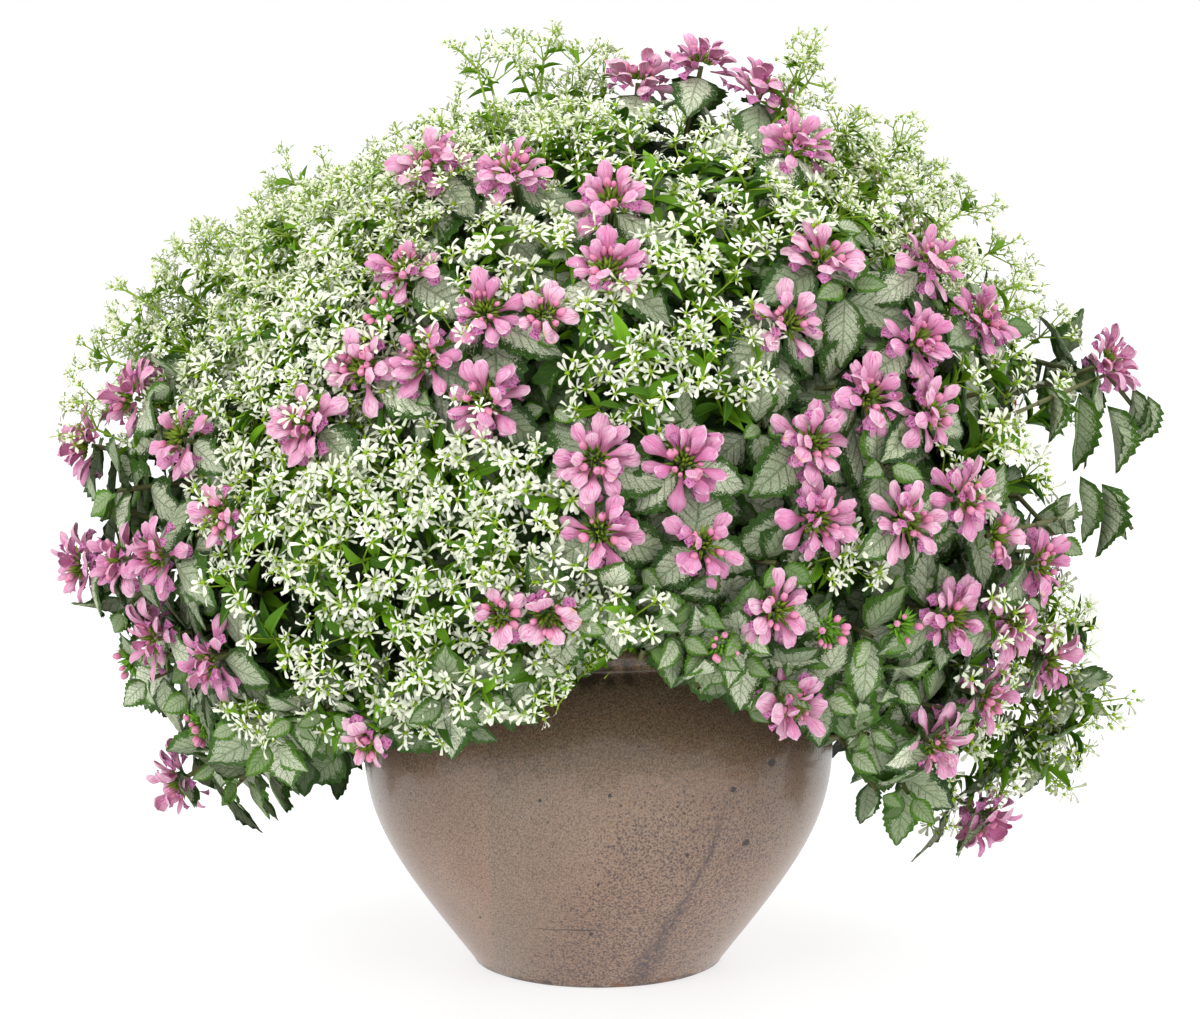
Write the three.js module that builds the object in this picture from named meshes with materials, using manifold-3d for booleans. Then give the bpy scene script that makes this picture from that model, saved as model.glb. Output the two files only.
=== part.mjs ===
// A glazed pot planted with spotted deadnettle and a white-bracted spurge that
// weaves through it. Millimetres, +Z up, origin at the centre of the pot's foot.
import * as THREE from "three";
import { mergeVertices } from "three/addons/utils/BufferGeometryUtils.js";
import Module from "manifold-3d";

const wasm = await Module();
wasm.setup();

// Pot
const FOOT_RADIUS = 77;
const FOOT_CHAMFER = 3;
const BELLY_RADIUS = 143;
const BELLY_HEIGHT = 138;
const NECK_RADIUS = 112;
const NECK_HEIGHT = 201;
const LIP_RADIUS = 120;
const LIP_ROUND = 5;
const POT_HEIGHT = 217;
const WALL = 10;
const FLOOR = 12;
const POT_SIDES = 24;
const DRAIN_RADIUS = 7;
const DRAIN_CIRCLE = 40;
const DRAINS = 3;

// Soil
const SOIL_LEVEL = 192;
const SOIL_CROWN = 6;
const SEAT_GAP = 0.3;
const ROOT_DEPTH = 22;

// Canopy: the surface that the leaves reach, seen from the heart of the plant.
// The skirt is how far down it hangs, as the sine of an angle from the heart.
const HEART = new THREE.Vector3(0, 0, 290);
const CANOPY_WIDE = 300;
const CANOPY_DEEP = 245;
const CANOPY_UP = 248;
const CANOPY_DOWN = 300;
const CANOPY_LUMPS = 0.0225;
const SKIRT_FRONT = -0.25;
const SKIRT_BACK = -0.42;
const SKIRT_SIDE = -0.66;

// Thicket of inner twigs and leaves under the canopy, as shares of its radius
const THICKET_OUTER = 0.755;
const THICKET_INNER = 0.68;
const THICKET_ROUGH = 0.035;
const THICKET_GAP = 0.6;
const CUSHION_OUTER = 0.89;
const FOOT_SHARE = 0.704;
const POT_CLEARANCE = 5;

// Places on the plant are given in millimetres across and up, on the upright
// plane through the pot's axis, as a viewer who stands here sees them.
const VIEWER = new THREE.Vector3(0, -2600, 700);

// Stems, which are square
const STEM_RADIUS = 4;
const STEM_HOLE = 5.4;
const STEM_SIDES = 4;
const STEM_SPREAD = 84;

// Flower heads of the deadnettle: a whorl of hooded florets round the stem,
// which ends above them in a green crown.
const HEAD_RADIUS = 26;
const HEAD_TILT = 0.05;
const FLORETS = 6;
const HOLE_RADIUS = 4.6;
const PEDUNCLE_RADIUS = 3.6;
const CROWN_RADIUS = 7.5;
const CROWN_HEIGHT = 12;
const LINK_RADIUS = 2.6;

// Deadnettle leaves: their edge is given as shares along and across the blade
const LEAF_LENGTH = 70;
const LEAF_WIDTH = 58;
const LEAF_THICK = 2;
const LEAF_RISE = 0.5;
const LEAF_SHARE = 0.82;
const CUSHION_LEAF_SHARE = 0.9;
const LEAF_ARCH = 0.24;
const LEAF_EDGE = [
  [0.0, 0.07],
  [0.08, 0.82],
  [0.34, 0.98],
  [0.46, 0.74],
  [0.62, 0.74],
  [0.74, 0.42],
];

// Spurge: starry flowers on thin stalks, and narrow leaves
const STAR_RADIUS = 12;
const STAR_DEPTH = 5;
const STAR_BRACTS = 5;
const SPRAY_STARS = 3;
const TWIG_RADIUS = 1.3;
const LANCE_LENGTH = 64;
const LANCE_WIDTH = 13;

// How many places are tried for each kind of piece over the whole sphere
const SPRAY_TRIES = 66;
const LEAF_TRIES = 205;
const LANCE_TRIES = 90;

const DEADNETTLE = "deadnettle";
const SPURGE = "spurge";

// Each leafy shoot or spray, by the middle of the patch that it fills
const frontShoots = [
  [DEADNETTLE, -293, 285],
  [DEADNETTLE, -235, 160],
  [DEADNETTLE, -107, 400],
  [DEADNETTLE, 80, 520],
  [DEADNETTLE, 150, 350],
  [DEADNETTLE, 285, 325],
  [DEADNETTLE, 60, 225],
  [DEADNETTLE, 225, 190],
  [SPURGE, -257, 390],
  [SPURGE, -150, 470],
  [SPURGE, 10, 420],
  [SPURGE, 180, 470],
  [SPURGE, -135, 230],
];
const backShoots = [
  [DEADNETTLE, -190, 220],
  [DEADNETTLE, 150, 430],
  [DEADNETTLE, 200, 190],
  [SPURGE, -150, 420],
  [SPURGE, 20, 280],
  [SPURGE, 0, 500],
];

// Each flower cluster, by the places of its heads
const frontBlooms = [
  [[-308, 318], [-281, 347], [-253, 322]],
  [[-314, 244], [-290, 248], [-266, 250]],
  [[-236, 185], [-270, 198]],
  [[-256, 110]],
  [[-176, 331]],
  [[-116, 424]],
  [[-100, 488], [-52, 482]],
  [[8, 465], [6, 424]],
  [[-68, 399]],
  [[-104, 370], [-68, 345], [-142, 362]],
  [[24, 538], [62, 548]],
  [[98, 532], [118, 499]],
  [[135, 430], [114, 392]],
  [[200, 429], [232, 394], [193, 381]],
  [[200, 337], [163, 347]],
  [[130, 319]],
  [[52, 306]],
  [[-2, 309], [1, 264]],
  [[64, 256]],
  [[133, 272]],
  [[188, 271], [222, 285]],
  [[108, 216]],
  [[118, 158]],
  [[215, 212]],
  [[268, 245], [252, 209], [274, 184]],
  [[236, 162], [205, 133]],
  [[235, 87]],
  [[307, 368]],
];
const backBlooms = [
  [[-228, 208], [-263, 244]],
  [[-168, 256], [-146, 211]],
  [[-200, 130], [-168, 152]],
  [[208, 413], [172, 449]],
  [[116, 394], [79, 431]],
  [[240, 170], [207, 197]],
  [[265, 290]],
];

// A seeded draw between two limits
let drawn = 20;
function draw(low, high) {
  drawn = (Math.imul(drawn, 1664525) + 1013904223) >>> 0;
  return low + ((high - low) * drawn) / 2 ** 32;
}

// Geometry and solids
function mergedOf(geometry, tolerance) {
  const bare = new THREE.BufferGeometry();
  bare.setAttribute("position", geometry.getAttribute("position"));
  if (geometry.index) bare.setIndex(geometry.index);
  return mergeVertices(bare, tolerance);
}

function solidOf(geometry) {
  const merged = mergedOf(geometry, 1e-4);
  return new wasm.Manifold(
    new wasm.Mesh({
      numProp: 3,
      vertProperties: new Float32Array(merged.attributes.position.array),
      triVerts: new Uint32Array(merged.index.array),
    }),
  );
}

function geometryOf(solid) {
  const { numVert, numProp, vertProperties, triVerts } = solid.getMesh();
  const places = new Float32Array(numVert * 3);
  for (let i = 0; i < numVert; i++) {
    places.set(vertProperties.subarray(i * numProp, i * numProp + 3), i * 3);
  }
  const geometry = new THREE.BufferGeometry();
  geometry.setAttribute("position", new THREE.BufferAttribute(places, 3));
  geometry.setIndex(new THREE.BufferAttribute(triVerts, 1));
  geometry.computeVertexNormals();
  return geometry;
}

// The solid that closed triangles bound, whichever way they face
function outward(geometry) {
  const solid = solidOf(geometry);
  if (solid.volume() > 0) return solid;
  const index = [...geometry.index.array];
  for (let i = 0; i < index.length; i += 3) {
    [index[i + 1], index[i + 2]] = [index[i + 2], index[i + 1]];
  }
  geometry.setIndex(index);
  return solidOf(geometry);
}

function solidFrom(points, index) {
  return outward(new THREE.BufferGeometry().setFromPoints(points).setIndex(index));
}

// Triangles between a ring of n points from a on and one of m points from b on
function stitch(index, a, n, b, m) {
  let i = n === 1 ? 1 : 0;
  let j = m === 1 ? 1 : 0;
  while (i < n || j < m) {
    if (j === m || (i < n && (i + 1) * m <= j * n)) {
      index.push(a + (i % n), a + ((i + 1) % n), b + (j % m));
      i++;
    } else {
      index.push(a + (i % n), b + ((j + 1) % m), b + (j % m));
      j++;
    }
  }
}

// A closed skin over rings, which may have unlike numbers of points. A ring of
// one point is a tip. A hollow skin joins its last ring to its first.
function loft(rings, hollow = false) {
  const starts = rings.map((_, r) => rings.slice(0, r).flat().length);
  const last = starts.at(-1);
  const index = [];
  for (let r = 0; r + 1 < rings.length; r++) {
    stitch(index, starts[r], rings[r].length, starts[r + 1], rings[r + 1].length);
  }
  if (hollow) {
    stitch(index, last, rings.at(-1).length, 0, rings[0].length);
  } else {
    for (let i = 1; i + 1 < rings[0].length; i++) index.push(0, i + 1, i);
    for (let i = 1; i + 1 < rings.at(-1).length; i++) index.push(last, last + i, last + i + 1);
  }
  return solidFrom(rings.flat(), index);
}

// Two directions square to an axis, with the first one turned by an angle
function acrossOf(axis, turn) {
  const aside = new THREE.Vector3(0, 0, 1);
  if (Math.abs(axis.z) > 0.9) aside.set(1, 0, 0);
  const u = aside.cross(axis).normalize().applyAxisAngle(axis, turn);
  return [u, axis.clone().cross(u)];
}

// Gives points about an origin by radius, angle and height along an axis
function polarFrame(origin, axis, turn = 0) {
  const [u, v] = acrossOf(axis, turn);
  return (radius, angle, lift) =>
    origin
      .clone()
      .addScaledVector(u, radius * Math.cos(angle))
      .addScaledVector(v, radius * Math.sin(angle))
      .addScaledVector(axis, lift);
}

function ringOf(at, radius, lift, sides) {
  return Array.from({ length: sides }, (_, i) => at(radius, (2 * Math.PI * i) / sides, lift));
}

function largest(solid) {
  return solid.decompose().sort((a, b) => b.volume() - a.volume())[0];
}

function boxOf(solid) {
  const { min, max } = solid.boundingBox();
  return new THREE.Box3(new THREE.Vector3(...min), new THREE.Vector3(...max));
}

// A copy a little larger about its own middle
function grown(solid, share) {
  const geometry = geometryOf(solid);
  const middle = boxOf(solid).getCenter(new THREE.Vector3());
  geometry.translate(-middle.x, -middle.y, -middle.z);
  geometry.scale(share, share, share);
  geometry.translate(middle.x, middle.y, middle.z);
  return solidOf(geometry);
}

// A solid of revolution about the pot's axis, from a profile of [radius, height]
function turned(profile) {
  const points = profile.map(([radius, height]) => new THREE.Vector2(radius, height));
  const geometry = new THREE.LatheGeometry(points, POT_SIDES);
  geometry.rotateX(Math.PI / 2);
  const merged = mergedOf(geometry, 1e-3);
  const kept = [];
  for (let i = 0; i < merged.index.count; i += 3) {
    const corners = merged.index.array.subarray(i, i + 3);
    if (new Set(corners).size === 3) kept.push(...corners);
  }
  return outward(merged.setIndex(kept));
}

// The wall of the pot from foot to neck, set in by a distance
function wallCurve(inset) {
  const foot = FOOT_RADIUS - inset;
  const belly = BELLY_RADIUS - inset;
  const neck = NECK_RADIUS - inset;
  const lower = new THREE.CubicBezierCurve(
    new THREE.Vector2(foot, FOOT_CHAMFER),
    new THREE.Vector2(foot + 50, 68),
    new THREE.Vector2(belly, 92),
    new THREE.Vector2(belly, BELLY_HEIGHT),
  );
  const upper = new THREE.CubicBezierCurve(
    new THREE.Vector2(belly, BELLY_HEIGHT),
    new THREE.Vector2(belly, 166),
    new THREE.Vector2(neck + 12, 192),
    new THREE.Vector2(neck, NECK_HEIGHT),
  );
  return [...lower.getPoints(4), ...upper.getPoints(3).slice(1)].map((p) => [p.x, p.y]);
}

// The inside of the wall needs fewer points than the outside.
function innerWall(inset) {
  return wallCurve(inset).filter((_, i) => ![0, 3, 5].includes(i));
}

function potSolid() {
  const pot = turned([
    [0, 0],
    [FOOT_RADIUS - FOOT_CHAMFER, 0],
    ...wallCurve(0),
    [LIP_RADIUS, NECK_HEIGHT + LIP_ROUND],
    [LIP_RADIUS, POT_HEIGHT - LIP_ROUND],
    [LIP_RADIUS - LIP_ROUND, POT_HEIGHT],
    [NECK_RADIUS - WALL, POT_HEIGHT - LIP_ROUND],
    ...innerWall(WALL).reverse(),
    [FOOT_RADIUS - FOOT_CHAMFER, FLOOR],
    [0, FLOOR],
  ]);
  return drained(pot);
}

function drained(pot) {
  let open = pot;
  for (let i = 0; i < DRAINS; i++) {
    const angle = (2 * Math.PI * i) / DRAINS;
    const drain = new THREE.CylinderGeometry(DRAIN_RADIUS, DRAIN_RADIUS, 3 * FLOOR, 8);
    drain.rotateX(Math.PI / 2);
    drain.translate(DRAIN_CIRCLE * Math.cos(angle), DRAIN_CIRCLE * Math.sin(angle), 0);
    open = open.subtract(solidOf(drain));
  }
  return open;
}

// Potting soil that fills the pot to just under its neck, a little crowned
function soilSolid() {
  const wall = innerWall(WALL + 2 * SEAT_GAP).filter(([, z]) => z < SOIL_LEVEL - SOIL_CROWN);
  return turned([
    [0, FLOOR + SEAT_GAP],
    [FOOT_RADIUS - WALL, FLOOR + SEAT_GAP],
    ...wall,
    [NECK_RADIUS - WALL - 2, SOIL_LEVEL],
    [0, SOIL_LEVEL + SOIL_CROWN],
  ]);
}

// The room that the pot takes, with some clearance round it and above it
function potRoom() {
  const reach = LIP_RADIUS + POT_CLEARANCE;
  return turned([
    [0, -POT_CLEARANCE],
    [FOOT_RADIUS + POT_CLEARANCE, -POT_CLEARANCE],
    ...wallCurve(-POT_CLEARANCE),
    [reach, NECK_HEIGHT],
    [reach, POT_HEIGHT + POT_CLEARANCE],
    [0, POT_HEIGHT + POT_CLEARANCE],
  ]);
}

// Distance from the heart to the canopy along a direction
function canopyRadius(d) {
  const tall = d.z > 0 ? CANOPY_UP : CANOPY_DOWN;
  const smooth = 1 / Math.hypot(d.x / CANOPY_WIDE, d.y / CANOPY_DEEP, d.z / tall);
  const lumps = Math.sin(7 * d.x + 1.3) * Math.sin(6 * d.y + 0.4) + Math.sin(8 * d.z + 2);
  return smooth * (1 + CANOPY_LUMPS * lumps);
}

function skirtOf(d) {
  const flat = Math.max(Math.hypot(d.x, d.y), 1e-6);
  const middle = d.y < 0 ? SKIRT_FRONT : SKIRT_BACK;
  return middle + (SKIRT_SIDE - middle) * (Math.abs(d.x) / flat) ** 0.6;
}

function fromHeart(d, share) {
  return HEART.clone().addScaledVector(d, canopyRadius(d) * share);
}

function directionOf(point) {
  return point.clone().sub(HEART).normalize();
}

// The point of the canopy that shows at x across and z up, from the front or
// the back. Where the sight line misses the canopy, it is the nearest point.
function onCanopy(x, z, side) {
  const through = new THREE.Vector3(x, 0, z);
  const sight = new THREE.Vector3(VIEWER.x, VIEWER.y * side, VIEWER.z).sub(through).normalize();
  let nearest = through;
  let least = Infinity;
  for (let t = 340; t > -60 && least > 1; t -= 2) {
    const point = through.clone().addScaledVector(sight, t);
    const share = point.distanceTo(HEART) / canopyRadius(directionOf(point));
    if (share < least) {
      least = share;
      nearest = point;
    }
  }
  return nearest;
}

// One surface of the thicket, which thins out under the skirt
function thicketSurface(shareAt, detail, rough) {
  const surface = mergedOf(new THREE.IcosahedronGeometry(1, detail), 1e-4);
  const place = surface.getAttribute("position");
  for (let i = 0; i < place.count; i++) {
    const d = new THREE.Vector3().fromBufferAttribute(place, i).normalize();
    const over = THREE.MathUtils.smoothstep(d.z - skirtOf(d), -0.2, -0.04);
    const full = rough > 0 ? 0.6 + 0.4 * over : 1;
    const point = fromHeart(d, shareAt(d) * full + draw(-rough, rough));
    place.setXYZ(i, point.x, point.y, point.z);
  }
  return solidOf(surface);
}

// The spurge's flowers stand so close that its part reaches further out.
function thicketSolid() {
  const outer = (d) => (isSpurge(d) ? CUSHION_OUTER : THICKET_OUTER);
  return thicketSurface(outer, 3, THICKET_ROUGH)
    .subtract(thicketSurface(() => THICKET_INNER, 2, 0))
    .subtract(potRoom());
}

// The part of the thicket that lies nearer to one shoot than to any other
function thicketOf(shoot, shoots, thicket) {
  let own = thicket;
  for (const other of shoots) {
    if (other === shoot) continue;
    const away = shoot.direction.clone().sub(other.direction).normalize();
    own = own.trimByPlane(away.toArray(), away.dot(HEART) + THICKET_GAP / 2);
  }
  return largest(own);
}

// The way of a shoot's main stem: up out of the soil, over the lip of the pot
// and into its part of the thicket
function stemRoute({ direction }) {
  const flat = Math.max(Math.hypot(direction.x, direction.y), 1e-6);
  const lean = THREE.MathUtils.clamp(1.05 - 0.75 * Math.max(direction.z, 0), 0.2, 1);
  const spread = (STEM_SPREAD * lean * Math.min(1, flat * 1.3)) / flat;
  const root = new THREE.Vector3(direction.x * spread, direction.y * spread, 0);
  const rise = root.clone().setZ(SOIL_LEVEL + 16);
  const end = fromHeart(direction, (THICKET_INNER + THICKET_OUTER) / 2);
  const bend = rise.clone().lerp(end, 0.5);
  bend.z = Math.max(bend.z + 12, POT_HEIGHT + 26);
  return [root.clone().setZ(SOIL_LEVEL - ROOT_DEPTH), rise, bend, end];
}

// A square stem that starts upright and follows a route in an upright plane
function stemSolid(route, direction, radius) {
  const level = new THREE.Vector3(-direction.y, direction.x, 0).normalize();
  const rings = route.map((point, i) => {
    const way = new THREE.Vector3(0, 0, 1);
    if (i > 1) way.subVectors(route[Math.min(i + 1, route.length - 1)], route[i - 1]).normalize();
    const other = way.cross(level).normalize();
    return Array.from({ length: STEM_SIDES }, (_, k) => {
      const angle = (2 * Math.PI * k) / STEM_SIDES;
      return point
        .clone()
        .addScaledVector(level, radius * Math.cos(angle))
        .addScaledVector(other, radius * Math.sin(angle));
    });
  });
  return loft(rings);
}

// The plain hole that a stem stands in
function stemHole(route, direction) {
  const bottom = route[0].clone().setZ(route[0].z - 1);
  const top = route[1].clone().setZ(SOIL_LEVEL + 2 * SOIL_CROWN);
  return stemSolid([bottom, top], direction, STEM_HOLE);
}

// A hollow whorl of florets: each has two shoulders and a tip, and the rim
// dips to a valley between one floret and the next.
function whorlSolid(head, radius) {
  const sector = (2 * Math.PI) / FLORETS;
  const at = polarFrame(head.place, head.axis, head.turn);
  const rim = [];
  for (let i = 0; i < FLORETS; i++) {
    const middle = i * sector;
    const lift = i % 2 ? -2.5 : 2;
    rim.push(at(0.36 * radius, middle - sector / 2, -1));
    rim.push(at(0.72 * radius, middle - sector / 3, lift - 1));
    rim.push(at(radius, middle, lift + 1.5));
    rim.push(at(0.72 * radius, middle + sector / 3, lift - 1));
  }
  const under = ringOf(at, HOLE_RADIUS, -3.5, FLORETS);
  const over = ringOf(at, HOLE_RADIUS, 3, FLORETS);
  return loft([under, rim, over], true);
}

// The stem that carries a head: it runs through the whorl to the crown over it
function stalkSolid(head) {
  const at = polarFrame(head.place, head.axis, head.turn);
  return loft([
    [head.root],
    ringOf(at, PEDUNCLE_RADIUS, 3.9, STEM_SIDES),
    ringOf(at, CROWN_RADIUS, 6.5, STEM_SIDES),
    [at(0, 0, CROWN_HEIGHT)],
  ]);
}

// A slim bar that holds two neighbouring heads of a cluster together
function linkSolid(one, other, dip) {
  const way = other.place.clone().sub(one.place);
  const inside = (head, side) => {
    const flat = way.clone().projectOnPlane(head.axis).setLength(6.5 * side);
    return head.place.clone().add(flat).addScaledVector(head.axis, -1);
  };
  const from = inside(one, 1);
  const to = inside(other, -1);
  const middle = from.clone().lerp(to, 0.5).addScaledVector(one.axis, dip);
  const at = polarFrame(middle, way.normalize());
  return loft([[from], ringOf(at, LINK_RADIUS, 0, 3), [to]]);
}

// A toothed, pointed leaf, folded a little along its midrib and arched. Its
// stalk runs from its foot in the thicket to the root of the blade.
function leafSolid({ foot, root, growing, facing, length, width }, thick) {
  const across = growing.clone().cross(facing).normalize();
  const at = (along, side, lift) =>
    root
      .clone()
      .addScaledVector(growing, along * length)
      .addScaledVector(across, (side * width) / 2)
      .addScaledVector(facing, lift);
  const edge = ([along, side]) =>
    at(along, side, length * (0.1 * Math.abs(side) - LEAF_ARCH * along ** 2));
  const rim = [
    foot,
    ...LEAF_EDGE.map(edge),
    edge([1, 0]),
    ...LEAF_EDGE.map(([along, side]) => edge([along, -side])).reverse(),
  ];
  const index = rim.flatMap((_, i) => {
    const next = (i + 1) % rim.length;
    return [i, next, rim.length, next, i, rim.length + 1];
  });
  return solidFrom([...rim, at(0.36, 0, thick / 2), at(0.36, 0, -thick / 2)], index);
}

// A spurge flower on its stalk: narrow bracts that spread from one point
function starSolid(foot, axis, reach, turn) {
  const at = polarFrame(foot.clone().addScaledVector(axis, reach), axis, turn);
  const rim = Array.from({ length: 2 * STAR_BRACTS }, (_, i) => {
    const angle = (Math.PI * i) / STAR_BRACTS;
    return i % 2
      ? at(STAR_RADIUS * 0.32, angle, STAR_DEPTH * 0.6)
      : at(STAR_RADIUS, angle, STAR_DEPTH);
  });
  return loft([[foot], ringOf(at, TWIG_RADIUS, 0, 3), rim, [at(0, 0, STAR_DEPTH * 0.85)]]);
}

// A narrow, pointed spurge leaf
function lanceSolid(foot, growing, facing) {
  const across = growing.clone().cross(facing).normalize();
  const at = (along, side, lift) =>
    foot
      .clone()
      .addScaledVector(growing, along * LANCE_LENGTH)
      .addScaledVector(across, (side * LANCE_WIDTH) / 2)
      .addScaledVector(facing, lift);
  const waist = [at(0.7, -1, 0.6), at(0.7, 1, 0.6), at(0.64, 0, -1.2)];
  return loft([[foot], waist, [at(1, 0, -2.5)]]);
}

// What has been placed so far. The pieces that hold a node together may be run
// into by the other pieces of that node; all else stays clear.
const placed = [];

function keep(node, solid, holds = false) {
  placed.push({ node, solid, box: boxOf(solid), holds });
  node.parts.push(solid);
}

function touches(solid, node) {
  const box = boxOf(solid);
  return placed.some(
    (item) =>
      !(item.node === node && item.holds) &&
      item.box.intersectsBox(box) &&
      !item.solid.intersect(solid).isEmpty(),
  );
}

// Whether a piece, or a copy of it that is a little larger, touches another
function crowds(solid, share, node) {
  return touches(solid, node) || touches(grown(solid, share), node);
}

function rooted(shoot, solid) {
  return !shoot.thicket.intersect(solid).isEmpty();
}

function numbered(stem, number) {
  return `${stem}_${String(number).padStart(2, "0")}`;
}

// Shoots: each has a main stem in the soil and a part of the thicket
function shootNodes(list, side, first) {
  return list.map(([kind, x, z], i) => ({
    kind,
    name: numbered(`${kind}_shoot`, first + i),
    direction: directionOf(onCanopy(x, z, side)),
    parts: [],
  }));
}

function nearestShoot(d) {
  return shoots.reduce((best, s) => (s.direction.dot(d) > best.direction.dot(d) ? s : best));
}

function isSpurge(d) {
  return nearestShoot(d).kind === SPURGE;
}

// A flower head on the canopy. Its stem springs from the thicket just below
// it, or from the lowest part of the thicket where the head hangs lower.
function headAt(x, z, side) {
  const place = onCanopy(x, z, side);
  const head = { place, turn: draw(0, Math.PI) };
  for (let rise = -HEAD_TILT; rise < 0.5; rise += 0.04) {
    const d = directionOf(place).setZ(directionOf(place).z + rise).normalize();
    head.root = fromHeart(d, FOOT_SHARE);
    head.axis = place.clone().sub(head.root).normalize();
    head.shoot = nearestShoot(d);
    if (rooted(head.shoot, stalkSolid(head))) break;
  }
  return head;
}

function bloomNodes(list, side, first) {
  return list.map((heads, i) => ({
    name: numbered(`${DEADNETTLE}_bloom`, first + i),
    heads: heads.map(([x, z]) => headAt(x, z, side)),
    parts: [],
  }));
}

// A head's stem belongs to its shoot, and the other shoots leave room for it.
function placeStalk(head) {
  const stalk = stalkSolid(head);
  keep(head.shoot, stalk);
  for (const other of shoots) {
    if (other !== head.shoot) other.thicket = other.thicket.subtract(grown(stalk, 1.3));
  }
}

// The largest whorl that there is room for
function placeWhorl(bloom, head) {
  const share = [1, 0.92, 0.84, 0.76, 0.68, 0.6].find(
    (size) => !crowds(whorlSolid(head, HEAD_RADIUS * size), 1.02, bloom),
  );
  keep(bloom, whorlSolid(head, HEAD_RADIUS * share), true);
}

// Joins a head to the one before it, unless their florets already meet
function placeLink(bloom, before, head) {
  if (wasm.Manifold.union(bloom.parts).decompose().length === 1) return;
  const bars = [-6, -3, 0, 3, 6].map((dip) => linkSolid(before, head, dip));
  keep(bloom, bars.find((bar) => !crowds(bar, 1.05, bloom)), true);
}

// Directions spread evenly over a sphere, in the order of a sunflower's seeds
function evenly(count) {
  const golden = Math.PI * (3 - Math.sqrt(5));
  return Array.from({ length: count }, (_, i) => {
    const z = 1 - (2 * (i + 0.5)) / count;
    const flat = Math.sqrt(1 - z * z);
    return new THREE.Vector3(flat * Math.cos(golden * i), flat * Math.sin(golden * i), z);
  }).filter((d) => d.z > skirtOf(d) + 0.035);
}

// The direction along the canopy that leads down and away from the top
function downhill(d) {
  const down = new THREE.Vector3(0, 0, -1).addScaledVector(d, d.z);
  return down.lengthSq() < 1e-4 ? new THREE.Vector3(1, 0, 0) : down.normalize();
}

// A leaf at its full size, or else a smaller one where there is less room
function placeLeaf(shoot, d) {
  for (const size of [draw(0.85, 1.1), draw(0.6, 0.75)]) {
    const along = downhill(d).applyAxisAngle(d, draw(-0.7, 0.7));
    const leaf = {
      foot: fromHeart(d, FOOT_SHARE),
      root: fromHeart(d, isSpurge(d) ? CUSHION_LEAF_SHARE : LEAF_SHARE).addScaledVector(along, 5),
      growing: along.clone().addScaledVector(d, LEAF_RISE).normalize(),
      facing: d.clone().addScaledVector(along, -LEAF_RISE).normalize(),
      length: LEAF_LENGTH * size,
      width: LEAF_WIDTH * size,
    };
    const blade = leafSolid(leaf, LEAF_THICK);
    if (touches(leafSolid(leaf, LEAF_THICK + 1.5), shoot) || !rooted(shoot, blade)) continue;
    keep(shoot, blade);
    return;
  }
}

// A spray of starry flowers whose stalks fan out from close together
function placeSpray(shoot, d) {
  const [u, v] = acrossOf(d, draw(0, 2));
  const reach = draw(62, 80);
  for (let i = 0; i < SPRAY_STARS; i++) {
    const angle = (2 * Math.PI * i) / SPRAY_STARS;
    const aside = u.clone().multiplyScalar(Math.cos(angle)).addScaledVector(v, Math.sin(angle));
    const foot = fromHeart(d, FOOT_SHARE).addScaledVector(aside, 4);
    const axis = d.clone().addScaledVector(aside, draw(0.3, 0.5)).normalize();
    const star = starSolid(foot, axis, reach * draw(0.85, 1.15), draw(0, 1));
    if (!crowds(star, 1.03, shoot) && rooted(shoot, star)) keep(shoot, star);
  }
}

function placeLance(shoot, d) {
  const along = downhill(d).applyAxisAngle(d, draw(-2.6, 2.6));
  const growing = along.addScaledVector(d, draw(0.7, 1.3)).normalize();
  const facing = growing.clone().cross(d).normalize().cross(growing).normalize();
  const leaf = lanceSolid(fromHeart(d, FOOT_SHARE), growing, facing);
  if (!crowds(leaf, 1.05, shoot) && rooted(shoot, leaf)) keep(shoot, leaf);
}

// The pot, the shoots with their stems in the soil, and the flower heads
const pot = { name: "pot", parts: [] };
keep(pot, potSolid());
const shoots = [
  ...shootNodes(frontShoots, 1, 1),
  ...shootNodes(backShoots, -1, frontShoots.length + 1),
];
const thicket = thicketSolid();
const soil = { name: "potting_soil", parts: [soilSolid()] };
for (const shoot of shoots) {
  const route = stemRoute(shoot);
  shoot.thicket = thicketOf(shoot, shoots, thicket);
  keep(shoot, stemSolid(route, shoot.direction, STEM_RADIUS), true);
  soil.parts = [soil.parts[0].subtract(stemHole(route, shoot.direction))];
}
const blooms = [
  ...bloomNodes(frontBlooms, 1, 1),
  ...bloomNodes(backBlooms, -1, frontBlooms.length + 1),
];
blooms.flatMap((bloom) => bloom.heads).forEach(placeStalk);
for (const shoot of shoots) keep(shoot, largest(shoot.thicket), true);
for (const bloom of blooms) {
  bloom.heads.forEach((head, i) => {
    placeWhorl(bloom, head);
    if (i > 0) placeLink(bloom, bloom.heads[i - 1], head);
  });
}

// The spurge's sprays, then the leaves of both plants. The deadnettle's leaves
// weave into the spurge's patches too.
for (const d of evenly(SPRAY_TRIES).filter(isSpurge)) placeSpray(nearestShoot(d), d);
for (const d of evenly(LEAF_TRIES)) placeLeaf(nearestShoot(d), d);
for (const d of evenly(LANCE_TRIES).filter(isSpurge)) placeLance(nearestShoot(d), d);

// Materials, and one mesh for each node
const finishes = {
  pot: { color: 0x7b6757, roughness: 0.3 },
  soil: { color: 0x32241b, roughness: 0.95 },
  bloom: { color: 0xe58fbe, roughness: 0.7 },
  [DEADNETTLE]: { color: 0x6f9470, roughness: 0.7 },
  [SPURGE]: { color: 0xdfe9cf, roughness: 0.7 },
};

function meshOf(node, finish) {
  const solid = largest(wasm.Manifold.union(node.parts));
  const material = new THREE.MeshStandardMaterial({ ...finishes[finish], flatShading: true });
  const mesh = new THREE.Mesh(geometryOf(solid), material);
  mesh.name = node.name;
  return mesh;
}

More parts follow.
